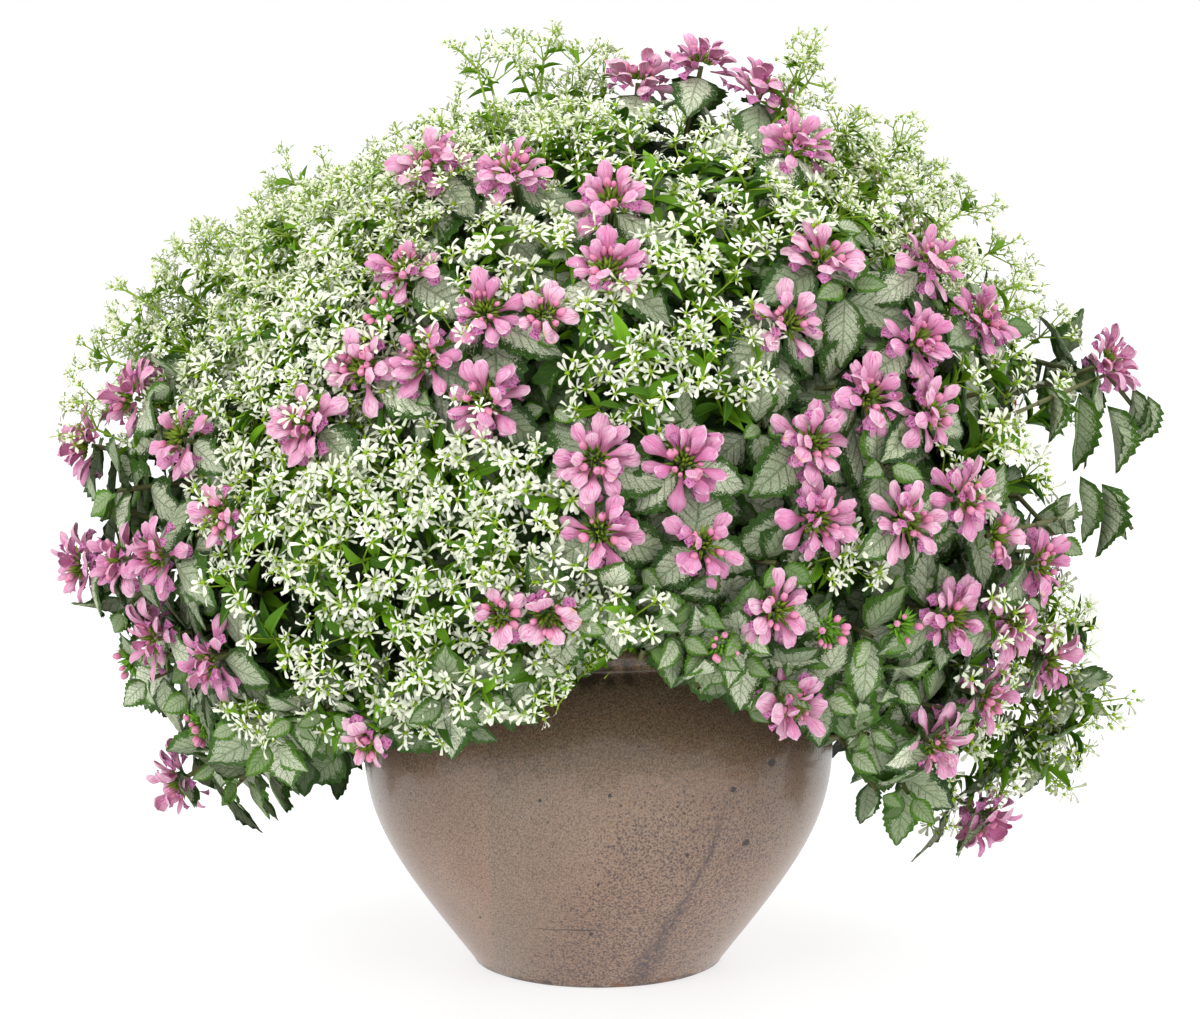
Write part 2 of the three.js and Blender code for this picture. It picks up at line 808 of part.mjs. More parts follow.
const planted = new THREE.Group();
planted.add(meshOf(pot, "pot"), meshOf(soil, "soil"));
for (const shoot of shoots) planted.add(meshOf(shoot, shoot.kind));
for (const bloom of blooms) planted.add(meshOf(bloom, "bloom"));

export default planted;
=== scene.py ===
"""A glazed pot planted with spotted deadnettle and a white-bracted spurge.

Metres, +Z up, origin at the centre of the pot's foot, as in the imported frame.
"""

import math

import bpy
import numpy as np
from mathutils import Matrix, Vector
from mathutils.geometry import tessellate_polygon


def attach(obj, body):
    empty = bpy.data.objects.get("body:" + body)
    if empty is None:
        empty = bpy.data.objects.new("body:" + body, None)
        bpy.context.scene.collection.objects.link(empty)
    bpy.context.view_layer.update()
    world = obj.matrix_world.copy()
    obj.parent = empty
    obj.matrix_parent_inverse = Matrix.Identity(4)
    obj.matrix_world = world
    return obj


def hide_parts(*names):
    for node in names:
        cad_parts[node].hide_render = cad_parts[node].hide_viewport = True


# Pot
FOOT_RADIUS = 0.077
FOOT_CHAMFER = 0.003
BELLY_RADIUS = 0.143
BELLY_HEIGHT = 0.138
NECK_RADIUS = 0.112
NECK_HEIGHT = 0.201
LIP_RADIUS = 0.120
POT_HEIGHT = 0.217
WALL = 0.010
FLOOR = 0.012
SOIL_LEVEL = 0.192
SOIL_CROWN = 0.006
SOIL_PLAY = 0.001
DRAIN_RADIUS = 0.007
DRAIN_CIRCLE = 0.040
DRAINS = 3
POT_SEGMENTS = 160
POT_WOBBLE = 0.0012

# The pot's radius at each height, which the plant keeps clear of
POT_GIRTH = [
    (0.0, FOOT_RADIUS), (0.04, 0.108), (0.09, 0.135), (BELLY_HEIGHT, BELLY_RADIUS), (0.17, 0.136),
    (NECK_HEIGHT, LIP_RADIUS), (POT_HEIGHT, LIP_RADIUS), (POT_HEIGHT + 0.003, 0.0),
]

# Single dark pits in the front of the glaze: across, up and radius
PITS = [
    (0.087, 0.097, 0.0030), (0.079, 0.132, 0.0022), (0.102, 0.144, 0.0028), (0.007, 0.134, 0.0015),
    (-0.034, 0.130, 0.0013), (0.000, 0.077, 0.0011), (0.052, 0.0945, 0.0016), (-0.004, 0.042, 0.0016),
    (-0.070, 0.046, 0.0010), (0.050, 0.121, 0.0013),
]

# Canopy: the surface that the leaves reach, seen from the heart of the plant
HEART = np.array([0.0, 0.0, 0.290])
CANOPY_WIDE = 0.300
CANOPY_DEEP = 0.245
CANOPY_UP = 0.248
CANOPY_DOWN = 0.300
CANOPY_LUMPS = 0.0225
SKIRT_FRONT = -0.25
SKIRT_BACK = -0.42
SKIRT_SIDE = -0.66
POT_CLEARANCE = 0.004
MOUTH_RADIUS = 0.085
MOUTH_HEIGHT = POT_HEIGHT - 0.006
GOLDEN_TURN = math.pi * (3 - math.sqrt(5))

# How far from the heart things lie or start, as shares of the canopy's radius
# The dark core that paints the shade deep in the plant lies at this share
PAINTED_SHADE_CORE_SHARE = 0.68
STEM_ROOT_SHARE = PAINTED_SHADE_CORE_SHARE - 0.02
HEAD_ROOT_SHARE = 0.704
TIP_SHARES = (0.86, 0.98)
INNER_SHARES = (0.70, 0.84)
FRINGE_SHARE = 0.97
OUTER_SHARE = 0.95

# Places on the plant are given in metres across and up, on the upright plane
# through the pot's axis, as a viewer who stands here sees them.
VIEWER = np.array([0.0, -2.6, 0.705])
FRONT, BACK = 1, -1

# Where along a sight line the canopy is looked for: from, to and step
SIGHT_STEPS = (0.340, -0.060, -0.002)

# What lies further back than this shows to a viewer behind the plant, and
# what lies within this of the axis can hang in front of the pot
BACK_FROM = 0.04
BARE_HALF = 0.150

# Camera, half the floor's width and what the lights point at
FOCAL_PIXELS = 4350.0
PHOTO_WIDTH = 1200.0
SENSOR = 36.0
AIM = (0.0012, 0.0, 0.2783)
STAGE_HALF = 12.0
LIT_SPOT = (0, 0, 0.25)

# Deadnettle
LEAF_LENGTH = 0.052
LEAF_WIDTH = 0.044
LEAF_TEETH = 8
LEAF_COLUMNS = (-1, -0.5, 0, 0.5, 1)
LEAF_DROOP = 0.45
LEAF_STALK = 0.006
LEAF_GAP = 0.010
HANGING_WIDTH = 0.45
HEAD_LEAF_GAP = 0.012
STEM_FOOT_RADIUS = 0.0022
STEM_TOP_RADIUS = 0.0019
TRAIL_RADIUS = 0.0016
KNEE_BELOW = 0.035
ROSETTES = 470
INNER_TIPS = 520

# How far leafy tips keep from the heads and below the crown
HEAD_ROOM = 0.020
TIP_ROOM = 0.024

# Where spurge covers them closely or airily: how far leafy tips are drawn in,
# as a share, and the share of them that stays
CLOSE_TIPS = (0.93, 0.18)
AIRY_TIPS = (0.80, 0.12)
AIRY_INNER_TIPS = (0.86, 0.6)

# Kinds of leaf: arch, fold and wave
LEAF_KINDS = [(0.15, 0.30, 0.10), (0.30, -0.15, 0.14), (0.22, 0.45, 0.10), (0.40, 0.10, 0.18)]

# Pairs of leaves down a stem: size, tilt up, and how silver and how yellow
TIP_PAIRS = [
    (0.017, 0.75, (0.1, 0.8), (0.4, 1.0)), (0.031, 0.35, (0.2, 1.0), (0, 0.7)),
    (0.044, 0.10, (0.35, 1.0), (0, 0.25)),
]
FRINGE_PAIRS = [
    (0.018, 0.75, (0.1, 0.8), (0.3, 1.0)), (0.034, 0.35, (0.3, 1.0), (0, 0.6)),
    (0.044, 0.10, (0.4, 1.0), (0, 0.3)),
]
HEAD_PAIRS = [(0.038, 0.05, (0.4, 1.0), (0, 0.2)), (0.048, -0.10, (0.4, 1.0), (0, 0.15))]
# Inner leaves get little silver, which paints them darker as shade
INNER_PAIRS = [(0.036, 0.40, (0, 0.4), (0, 0.25)), (0.044, 0.10, (0, 0.2), (0, 0.15))]

# Rings of florets round a head: how many, tilt up, spread of the tilt, how far
# out and how high they stand, length, and the share of them that is there
FLORET_TIERS = [
    (8, 0.00, 0.36, 0.0060, -0.004, 0.0200, 0.76), (8, 0.42, 0.36, 0.0058, 0.001, 0.0182, 0.70),
    (5, 0.85, 0.32, 0.0050, 0.004, 0.0150, 0.62),
]
FADED_TIER = (7, 0.5, 0.4, 0.004, 0.0, 0.018, 0.8)

# Rings of calyx teeth: how many, tilt up, its spread, how far out, and length
CALYX_TIERS = [
    (13, 0.30, 0.25, 0.0045, 0.0078), (12, 0.75, 0.25, 0.0040, 0.0082),
    (9, 1.10, 0.20, 0.0028, 0.0088), (5, 1.40, 0.15, 0.0010, 0.0092),
]

# The ring of pink beads, with its height in place of the length
BEAD_TIER = (9, 0.8, 0.45, 0.0065, 0.004)
BEAD_LENGTH = 0.0058

# A floret's hood: along, radius, opening in degrees each way, and rise
HOOD = [
    (0.00, 0.060, 180, 0.00), (0.18, 0.075, 170, 0.06), (0.34, 0.120, 145, 0.15),
    (0.48, 0.185, 122, 0.25), (0.62, 0.225, 110, 0.31), (0.76, 0.230, 105, 0.32),
    (0.88, 0.185, 100, 0.27), (0.96, 0.115, 96, 0.21), (1.00, 0.020, 92, 0.17),
]

# Kinds of hood: lift, ruffle and width
HOOD_KINDS = [
    (0.3, 0.10, 1.0), (0.7, 0.16, 0.9), (1.0, 0.10, 1.1), (0.5, 0.22, 1.0), (0.1, 0.14, 0.8),
    (0.8, 0.20, 1.2),
]

# What a floret's lower lip adds to v, to tell it from the hood
LIP_V = 2

# Spurge
BRACT_LENGTH = 0.0073
SPRAY_SPACING = 0.0265
LANCE_WIDTH = 0.32
TOP_TWIG = 0.045
AIRY_TOP_TWIG = 0.02
TWIG_FOOT_RADIUS = 0.0013
TWIG_TOP_RADIUS = 0.0010
BRANCH_RADIUS = 0.0006
STALK_RADIUS = 0.0005

# How far sprays keep below the crown on the crest, and how far their forks are
# sunk below their places
CREST_ROOM = 0.016
SPRAY_SUNK = 0.018
TALL_SUNK = 0.026

# A bract's outline, spoon-shaped or a plain kite: along, aside and lift
SPOON = [
    (0.04, 0, 0.02), (0.50, -0.11, 0.26), (0.50, 0.11, 0.26), (0.86, -0.15, 0.34), (0.86, 0.15, 0.34),
    (1.00, 0, 0.28),
]
SPOON_FACES = [[0, 1, 2], [1, 3, 2], [2, 3, 4], [3, 5, 4]]
KITE = [(0.04, 0, 0.02), (0.62, -0.18, 0.26), (0.62, 0.18, 0.26), (1.0, 0, 0.34)]
KITE_FACES = [[0, 1, 2], [1, 3, 2]]

# Kinds of flower, in close and in loose sprays: how many bracts, and their cup
FINE_STARS = [(4, 1.0), (6, 1.2), (5, 0.4), (5, 2.0), (6, 0.8)]
PLAIN_STARS = [(4, 1.0), (5, 1.6), (5, 0.6), (4, 2.0)]

# Branches, twigs on each, the reach of both, and the flowers' size in bracts
CLOSE_SPRAY = (4, 3, ((0.009, 0.018), (0.003, 0.008)), 1.12)
LOOSE_SPRAY = (5, 5, ((0.008, 0.020), (0.003, 0.008)), 0.78)

# Leaves up a spray's stem: how many, how low, how long, and the least light
CLOSE_LANCES = (12, 0.045, 0.026, 0.0)
LOOSE_LANCES = (5, 0.040, 0.020, 0.6)

# The middle of each flower cluster's heads, from the front and from the back
FRONT_BLOOMS = [
    [(-0.308, 0.318), (-0.281, 0.347), (-0.253, 0.322)],
    [(-0.314, 0.244), (-0.290, 0.248), (-0.266, 0.250)], [(-0.236, 0.185), (-0.270, 0.198)],
    [(-0.256, 0.110)], [(-0.176, 0.331)], [(-0.116, 0.424)], [(-0.100, 0.488), (-0.052, 0.482)],
    [(0.008, 0.465), (0.006, 0.424)], [(-0.068, 0.399)],
    [(-0.104, 0.370), (-0.068, 0.345), (-0.142, 0.362)], [(0.024, 0.538), (0.062, 0.548)],
    [(0.098, 0.532), (0.118, 0.499)], [(0.135, 0.430), (0.114, 0.392)],
    [(0.200, 0.429), (0.232, 0.394), (0.193, 0.381)], [(0.200, 0.337), (0.163, 0.347)],
    [(0.130, 0.319)], [(0.052, 0.306)], [(-0.002, 0.309), (0.001, 0.264)], [(0.064, 0.256)],
    [(0.133, 0.272)], [(0.188, 0.271), (0.222, 0.285)], [(0.108, 0.216)], [(0.118, 0.158)],
    [(0.215, 0.212)], [(0.268, 0.245), (0.252, 0.209), (0.274, 0.184)],
    [(0.236, 0.162), (0.205, 0.133)], [(0.235, 0.087)], [(0.307, 0.368)],
]
BACK_BLOOMS = [
    [(-0.228, 0.208), (-0.263, 0.244)], [(-0.168, 0.256), (-0.146, 0.211)],
    [(-0.200, 0.130), (-0.168, 0.152)], [(0.208, 0.413), (0.172, 0.449)],
    [(0.116, 0.394), (0.079, 0.431)], [(0.240, 0.170), (0.207, 0.197)], [(0.265, 0.290)],
]

# How low the plant hangs in front of the pot: across, and the lowest height
BARE_FRONT = [
    (-0.150, 0.112), (-0.098, 0.121), (-0.055, 0.128), (-0.034, 0.136), (-0.016, 0.166), (0.017, 0.183),
    (0.032, 0.176), (0.055, 0.160), (0.080, 0.152), (0.095, 0.133), (0.150, 0.128),
]

# How high the spurge's sprays reach: across, and the greatest height
CROWN = [
    (-0.320, 0.360), (-0.280, 0.425), (-0.215, 0.470), (-0.125, 0.505), (-0.090, 0.515),
    (-0.070, 0.550), (-0.020, 0.555), (0.020, 0.520), (0.100, 0.530), (0.120, 0.550), (0.200, 0.500),
    (0.240, 0.445), (0.290, 0.375), (0.325, 0.340),
]

# Single sprays that stand out above the others on long stems
TALL_SPRAYS = [
    (-0.328, 0.352), (-0.318, 0.376), (-0.306, 0.398), (-0.292, 0.395), (-0.274, 0.424),
    (-0.262, 0.435), (-0.245, 0.442), (-0.228, 0.455), (-0.214, 0.468), (-0.196, 0.470),
    (-0.150, 0.490), (-0.122, 0.508), (-0.112, 0.520), (-0.070, 0.560), (-0.056, 0.535),
    (-0.044, 0.562), (-0.030, 0.530), (-0.020, 0.550), (-0.006, 0.545), (-0.078, 0.568),
    (-0.060, 0.574), (-0.030, 0.574), (-0.014, 0.570), (0.002, 0.562), (-0.098, 0.536), (-0.176, 0.492),
    (-0.205, 0.486), (-0.252, 0.455), (-0.285, 0.420), (-0.325, 0.338), (0.122, 0.562), (0.132, 0.572),
    (0.142, 0.556), (0.192, 0.520), (0.238, 0.474), (0.132, 0.538), (0.150, 0.530), (0.166, 0.512),
    (0.186, 0.508), (0.204, 0.500), (0.218, 0.488), (0.256, 0.448), (0.272, 0.425), (0.286, 0.398),
]

# Small faded flower heads between the others, with few florets
FADED_BLOOMS = [
    (-0.140, 0.136), (-0.032, 0.396), (-0.227, 0.275), (-0.059, 0.213), (-0.143, 0.368),
    (-0.030, 0.213), (0.240, 0.262),
]

# Small green whorls that are still in bud
BUD_WHORLS = [
    (0.139, 0.204), (0.184, 0.207), (0.076, 0.195), (-0.284, 0.185), (-0.242, 0.145), (-0.128, 0.398),
]

# Leafy tips that hang at the edges of the plant
FRINGE = [
    (-0.239, 0.118), (-0.224, 0.142), (-0.205, 0.130), (-0.190, 0.146), (-0.170, 0.150),
    (-0.150, 0.140), (-0.125, 0.150), (-0.095, 0.158), (-0.070, 0.162), (-0.045, 0.185),
    (-0.020, 0.212), (0.005, 0.220), (0.030, 0.212), (0.050, 0.198), (0.070, 0.190), (0.090, 0.185),
    (0.112, 0.172), (0.140, 0.160), (0.157, 0.125), (0.176, 0.098), (0.196, 0.096), (0.169, 0.140),
    (0.301, 0.158), (0.285, 0.124), (0.285, 0.262), (-0.296, 0.215), (-0.281, 0.170), (-0.269, 0.188),
    (-0.255, 0.160), (0.292, 0.366), (-0.300, 0.290), (-0.262, 0.358),
]

# Shoots that trail out at the right, and the leaves that hang from them
TRAILS = [
    [(0.235, 0.330), (0.265, 0.343), (0.307, 0.361), (0.331, 0.331)],
    [(0.235, 0.262), (0.265, 0.269), (0.313, 0.281), (0.324, 0.266)],
]
HANGING_LEAVES = [
    (0.272, 0.350, 0.030), (0.290, 0.345, 0.044), (0.300, 0.352, 0.026), (0.308, 0.338, 0.040),
    (0.322, 0.350, 0.030), (0.331, 0.345, 0.030), (0.292, 0.295, 0.038), (0.286, 0.286, 0.022),
    (0.305, 0.290, 0.042), (0.312, 0.278, 0.020),
]

# A gap in the leaves between the two trailing shoots
GAP_AT = (0.300, 0.300)
GAP_HALF = (0.036, 0.056)

# Patches that the spurge's white flowers cover: the middle across and up, half
# the width and height, and how airy the sprays stand (0 close to 1 loose)
FRONT_PATCHES = [
    (-0.137, 0.226, 0.084, 0.080, 0.0), (-0.197, 0.331, 0.060, 0.070, 0.2),
    (-0.227, 0.411, 0.060, 0.050, 0.8), (-0.161, 0.460, 0.062, 0.045, 0.8),
    (-0.089, 0.510, 0.042, 0.034, 0.8), (-0.041, 0.535, 0.036, 0.028, 1.0),
    (-0.053, 0.442, 0.036, 0.037, 0.2), (0.049, 0.479, 0.048, 0.049, 0.1),
    (0.031, 0.405, 0.052, 0.034, 0.0), (0.025, 0.361, 0.048, 0.031, 0.0),
    (-0.089, 0.300, 0.064, 0.031, 0.0), (-0.047, 0.244, 0.030, 0.056, 0.1),
    (0.001, 0.213, 0.030, 0.012, 0.0), (-0.047, 0.168, 0.034, 0.022, 0.2),
    (0.151, 0.505, 0.054, 0.040, 0.8), (0.205, 0.468, 0.046, 0.040, 0.9),
    (0.241, 0.425, 0.028, 0.030, 0.9), (0.259, 0.343, 0.030, 0.046, 0.4),
    (0.238, 0.300, 0.030, 0.022, 0.2), (0.272, 0.160, 0.040, 0.058, 0.2),
    (0.292, 0.207, 0.024, 0.034, 0.5), (0.232, 0.112, 0.034, 0.026, 0.2),
    (0.276, 0.126, 0.030, 0.034, 0.3), (0.246, 0.140, 0.022, 0.030, 0.2),
    (0.163, 0.250, 0.028, 0.015, 0.1), (-0.288, 0.372, 0.034, 0.035, 0.9),
    (-0.215, 0.281, 0.034, 0.032, 0.1), (-0.197, 0.150, 0.028, 0.026, 0.2),
    (-0.128, 0.148, 0.030, 0.017, 0.1), (0.112, 0.467, 0.020, 0.026, 0.2),
    (0.090, 0.380, 0.018, 0.028, 0.1), (0.001, 0.512, 0.028, 0.020, 0.4),
    (-0.250, 0.380, 0.050, 0.060, 0.6), (-0.200, 0.440, 0.060, 0.050, 0.6),
    (-0.130, 0.490, 0.050, 0.045, 0.6), (-0.130, 0.420, 0.050, 0.060, 0.3),
    (-0.170, 0.385, 0.060, 0.050, 0.3), (-0.060, 0.530, 0.040, 0.035, 1.0),
    (-0.030, 0.500, 0.040, 0.035, 0.6), (0.170, 0.520, 0.050, 0.030, 0.9),
    (0.230, 0.450, 0.035, 0.040, 0.8), (-0.050, 0.150, 0.022, 0.018, 0.7),
    (0.000, 0.173, 0.014, 0.012, 0.9),
]
BACK_PATCHES = [
    (-0.160, 0.420, 0.080, 0.070, 0.6), (-0.060, 0.480, 0.060, 0.050, 0.8),
    (0.030, 0.300, 0.070, 0.070, 0.1), (0.040, 0.510, 0.060, 0.040, 0.8),
    (0.150, 0.310, 0.040, 0.050, 0.3), (-0.080, 0.330, 0.050, 0.040, 0.2),
    (0.250, 0.400, 0.040, 0.040, 0.8), (-0.250, 0.340, 0.030, 0.050, 0.7),
    (0.100, 0.180, 0.040, 0.040, 0.2), (-0.050, 0.200, 0.050, 0.030, 0.1),
]

# How airy a patch is where close ones end and airy ones begin
AIRY_FROM = 0.5

# Patches on the plant's crest, seen from above: across, deep and half sizes
CREST_PATCHES = [
    (-0.150, 0.015, 0.070, 0.055), (-0.225, 0.035, 0.045, 0.045), (-0.270, 0.040, 0.020, 0.030),
    (0.140, 0.030, 0.050, 0.040),
]

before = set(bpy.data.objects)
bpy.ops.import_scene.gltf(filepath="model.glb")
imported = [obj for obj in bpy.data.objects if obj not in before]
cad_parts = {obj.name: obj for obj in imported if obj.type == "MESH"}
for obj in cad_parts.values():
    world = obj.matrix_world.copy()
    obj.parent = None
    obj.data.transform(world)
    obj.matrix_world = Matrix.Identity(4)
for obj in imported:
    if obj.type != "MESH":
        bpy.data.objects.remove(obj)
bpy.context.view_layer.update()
draws = np.random.default_rng(20)


def nodes_like(stem):
    return sorted(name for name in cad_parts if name.startswith(stem))


# Vectors and the canopy

def unit(vectors):
    return vectors / np.maximum(np.linalg.norm(vectors, axis=-1, keepdims=True), 1e-12)


def canopy_radius(way):
    """How far the lumpy canopy is from the heart in each direction."""
    x, y, z = np.moveaxis(way, -1, 0)
    tall = np.where(z > 0, CANOPY_UP, CANOPY_DOWN)
    smooth = 1 / np.sqrt((x / CANOPY_WIDE) ** 2 + (y / CANOPY_DEEP) ** 2 + (z / tall) ** 2)
    lumps = np.sin(7 * x + 1.3) * np.sin(6 * y + 0.4) + np.sin(8 * z + 2)
    return smooth * (1 + CANOPY_LUMPS * lumps)


def skirt(way):
    """The lowest direction that the foliage reaches, as the sine of its angle."""
    x, y, _ = np.moveaxis(way, -1, 0)
    middle = np.where(y < 0, SKIRT_FRONT, SKIRT_BACK)
    return middle + (SKIRT_SIDE - middle) * (np.abs(x) / np.maximum(np.hypot(x, y), 1e-6)) ** 0.6


def from_heart(way, share):
    """Points in these directions at a share of the canopy's radius."""
    return HEART + way * (canopy_radius(way) * share)[..., None]


def drawn_in(points, share):
    """Points at a share of their distance from the heart."""
    return HEART + (points - HEART) * share


def on_canopy(places, side=FRONT):
    """The points of the canopy that show at (across, up) from the front or the
    back, or the nearest ones where the sight line misses it."""
    across, up = np.array(places).T
    through = np.column_stack([across, 0 * across, up])
    sight = unit(VIEWER * (1, side, 1) - through)
    points = through[:, None] + sight[:, None] * np.arange(*SIGHT_STEPS)[:, None]
    share = np.linalg.norm(points - HEART, axis=2) / canopy_radius(unit(points - HEART))
    nearest = np.where((share <= 1).any(axis=1), np.argmax(share <= 1, axis=1), np.argmin(share, axis=1))
    return points[np.arange(len(points)), nearest]


def spiral(count, start=0.0):
    """Places spread evenly over a disc of radius one."""
    i = np.arange(count)
    reach, turn = np.sqrt((i + 0.5) / count), start + i * GOLDEN_TURN
    return reach[:, None] * np.column_stack([np.cos(turn), np.sin(turn)])


def evenly(count):
    """Directions spread evenly over a sphere, above the skirt."""
    i = np.arange(count)
    z = 1 - 2 * (i + 0.5) / count
    flat, turn = np.sqrt(1 - z * z), i * GOLDEN_TURN
    way = np.column_stack([flat * np.cos(turn), flat * np.sin(turn), z])
    return way[z > skirt(way)]


def frames_of(along, facing):
    """Rows along, across and facing, square to each other, for many pieces."""
    along = unit(along)
    across = unit(np.cross(facing, along))
    return np.stack([along, across, np.cross(along, across)], axis=1)


def around(axis, turn, tilt=0.0):
    """Directions at a turn about each axis and a tilt up from its flat plane."""
    aside = np.where(np.abs(axis[:, 2:]) > 0.9, (1.0, 0, 0), (0, 0, 1.0))
    u = unit(np.cross(aside, axis))
    v = np.cross(axis, u)
    flat = u * np.cos(turn)[..., None] + v * np.sin(turn)[..., None]
    return flat * np.cos(tilt)[..., None] + axis * np.sin(tilt)[..., None]


def drooping(out, share):
    """Bends directions down by their own weight."""
    return unit(out - np.array([0, 0, share]))


def shown_at(points):
    """Where points show, across and up, to a viewer on their own side."""
    side = np.where(points[:, 1] < BACK_FROM, FRONT, BACK)
    eye = VIEWER * np.column_stack([0 * side, side, side * side])
    reach = eye[:, 1] / (eye[:, 1] - points[:, 1])
    return (eye + (points - eye) * reach[:, None])[:, [0, 2]]


def in_patches(points, least, most):
    """Whether points show within a spurge patch that is so airy."""
    across, up = shown_at(points).T
    inside = np.zeros(len(points), bool)
    front = points[:, 1] < BACK_FROM
    for patches, side in ((FRONT_PATCHES, front), (BACK_PATCHES, ~front)):
        for x, z, wide, tall, airy in patches:
            if least <= airy <= most:
                inside |= side & (np.hypot((across - x) / wide, (up - z) / tall) < 1.0)
    return inside


def bares_pot(points):
    """Whether points hang lower in front of the pot than the plant does."""
    across, up = shown_at(points).T
    over_pot = (np.abs(across) < BARE_HALF) & (points[:, 1] < 0)
    return over_pot & (up < np.interp(across, *np.array(BARE_FRONT).T))


def crown(across):
    return np.interp(across, *np.array(CROWN).T)


def below_crown(points, room):
    """Points moved towards the heart where they show above the crown."""
    across, up = shown_at(points).T
    over = np.maximum(up - crown(across) + room, 0)
    return drawn_in(points, (1 - over / np.linalg.norm(points - HEART, axis=1))[:, None])


def outside_pot(points):
    """Moves points that would lie in the pot out of it, square to its axis."""
    flat = np.maximum(np.hypot(points[:, 0], points[:, 1]), 1e-6)
    least = np.interp(points[:, 2], *np.array(POT_GIRTH).T) + POT_CLEARANCE
    grow = np.where(points[:, 2] > POT_GIRTH[-1][0], 1, np.maximum(least / flat, 1))
    return points * np.column_stack([grow, grow, np.ones(len(grow))])


# Shapes, as points, triangles and (u, v) coordinates

def sheet(x, y, z, u, v):
    """A sheet over rows and columns of points, from values that broadcast."""
    x, y, z, u, v = np.broadcast_arrays(x, y, z, u, v)
    rows, columns = x.shape
    i, j = np.meshgrid(np.arange(rows - 1), np.arange(columns - 1), indexing="ij")
    a = (i * columns + j).ravel()
    one = np.column_stack([a, a + columns, a + columns + 1])
    two = np.column_stack([a, a + columns + 1, a + 1])
    points, uv = np.stack([x, y, z], axis=2), np.stack([u, v], axis=2)
    return points.reshape(-1, 3), np.concatenate([one, two]), uv.reshape(-1, 2)


def repeated(points, triangles, uv):
    """One mesh from many copies, given by all their points, copy by copy."""
    count, size = points.shape[:2]
    index = triangles + size * np.arange(count)[:, None, None]
    return points.reshape(-1, 3), index.reshape(-1, 3), np.tile(uv, (count, 1))


def joined(shapes):
    points, triangles, uv = zip(*shapes)
    starts = np.cumsum([0] + [len(some) for some in points[:-1]])
    triangles = [some + start for some, start in zip(triangles, starts)]
    return np.concatenate(points), np.concatenate(triangles), np.concatenate(uv)


def leaf_shape(teeth, columns, arch, fold, wave):
    """A heart-shaped, pointed leaf of unit length and width, along x and facing
    z, folded along its midrib, arched and with rounded teeth."""
    u, v = np.linspace(0, 1, 2 * teeth + 1)[:, None], np.array(columns)
    edge = np.abs(v) ** 6
    notch = (np.arange(2 * teeth + 1) % 2 == 0)[:, None]
    half = 0.5 * np.sin(math.pi * u**0.62) ** 0.9
    lobe = 0.10 * np.exp(-u / 0.12) * np.abs(v) ** 1.5
    x = u - lobe + 0.02 * (1 - notch) * edge * (u < 0.99)
    y = v * half * (1 - 0.13 * notch * edge)
    z = fold * np.abs(y) - arch * u**2 + wave * np.sin(9 * u + 2 * np.sign(v)) * v**2 * half
    return sheet(x, y, z - 0.22 * np.abs(v) ** 3 * half, u, (v + 1) / 2)


def lance_shape(arch):
    """A narrow, smooth leaf of unit length and width."""
    u, v = np.linspace(0, 1, 6)[:, None], np.array([-1.0, 0.0, 1.0])
    half = 0.5 * np.sin(math.pi * (0.06 + 0.94 * u) ** 0.85)
    return sheet(u, v * half, 0.35 * np.abs(v) * half - arch * u**2, u, (v + 1) / 2)


def hood_shape(lift, ruffle, width):
    """The hooded upper lip of a floret on its tube, one long and along x: the
    tube is closed and the hood is a wavy oval shell that opens downwards."""
    u, radius, opening, rise = np.array(HOOD).T[:, :, None]
    a = np.linspace(-1, 1, 9)
    angle = opening * math.pi / 180 * a
    crease = 1 - 0.14 * np.exp(-((a / 0.16) ** 2)) * u
    wave = 1 + ruffle * np.sin(8 * a + 11 * u) * u
    hem = 1 + 0.16 * u * np.abs(a) ** 3
    x = u - 0.06 * u**3 * np.cos(5 * a + 20 * ruffle) * (u < 0.99)
    y = width * radius * np.sin(angle) * hem * wave
    z = lift * rise + 0.52 * radius * wave * crease * (np.cos(angle) - 0.25)
    return sheet(x, y, z, u, (a + 1) / 2)


def lip_shape():
    """The lower lip of a floret: two rounded lobes that hang outwards."""
    u, a = np.linspace(0, 1, 5)[:, None], np.linspace(-1, 1, 5)
    half = np.interp(u, [0, 0.3, 0.75, 1.0], [0.06, 0.10, 0.25, 0.17])
    notch = 0.13 * (1 - np.abs(a)) ** 2 * np.interp(u, [0.6, 1], [0, 1])
    z = -0.05 - 0.24 * u - 0.10 * u * np.cos(3 * a)
    return sheet(0.36 + 0.40 * u - notch, a * half, z, u, LIP_V + (a + 1) / 2)


def spike_shape(sides):
    """A slim cone of unit length along x, with its widest place near its foot."""
    i = np.arange(sides)
    turn, after = i * 2 * math.pi / sides, (i + 1) % sides
    ring = np.column_stack([0 * turn + 0.25, 0.16 * np.cos(turn), 0.16 * np.sin(turn)])
    points = np.concatenate([[[0, 0, 0]], ring, [[1, 0, 0]]])
    low = np.column_stack([0 * i, after + 1, i + 1])
    high = np.column_stack([i + 1, after + 1, 0 * i + sides + 1])
    return points, np.concatenate([low, high]), points[:, :2] * (1, 0)


def bead_shape():
    """A small closed bud, one long along x."""
    u, turn = np.linspace(0, math.pi, 5)[:, None], np.linspace(0, 2 * math.pi, 7)
    x, radius = 0.5 - 0.5 * np.cos(u), 0.38 * np.sin(u)
    return sheet(x, radius * np.cos(turn), radius * np.sin(turn), x, 0)


def bract_shape(turn, length, cup, fine):
    """One bract of a starry flower, folded and raised a little: spoon-shaped,
    or a plain kite."""
    corners, triangles = (SPOON, SPOON_FACES) if fine else (KITE, KITE_FACES)
    along, side, lift = length * np.array(corners).T
    c, s = math.cos(turn), math.sin(turn)
    points = np.column_stack([along * c - side * s, along * s + side * c, cup * lift])
    return points, np.array(triangles), np.column_stack([along / length, 0 * along])


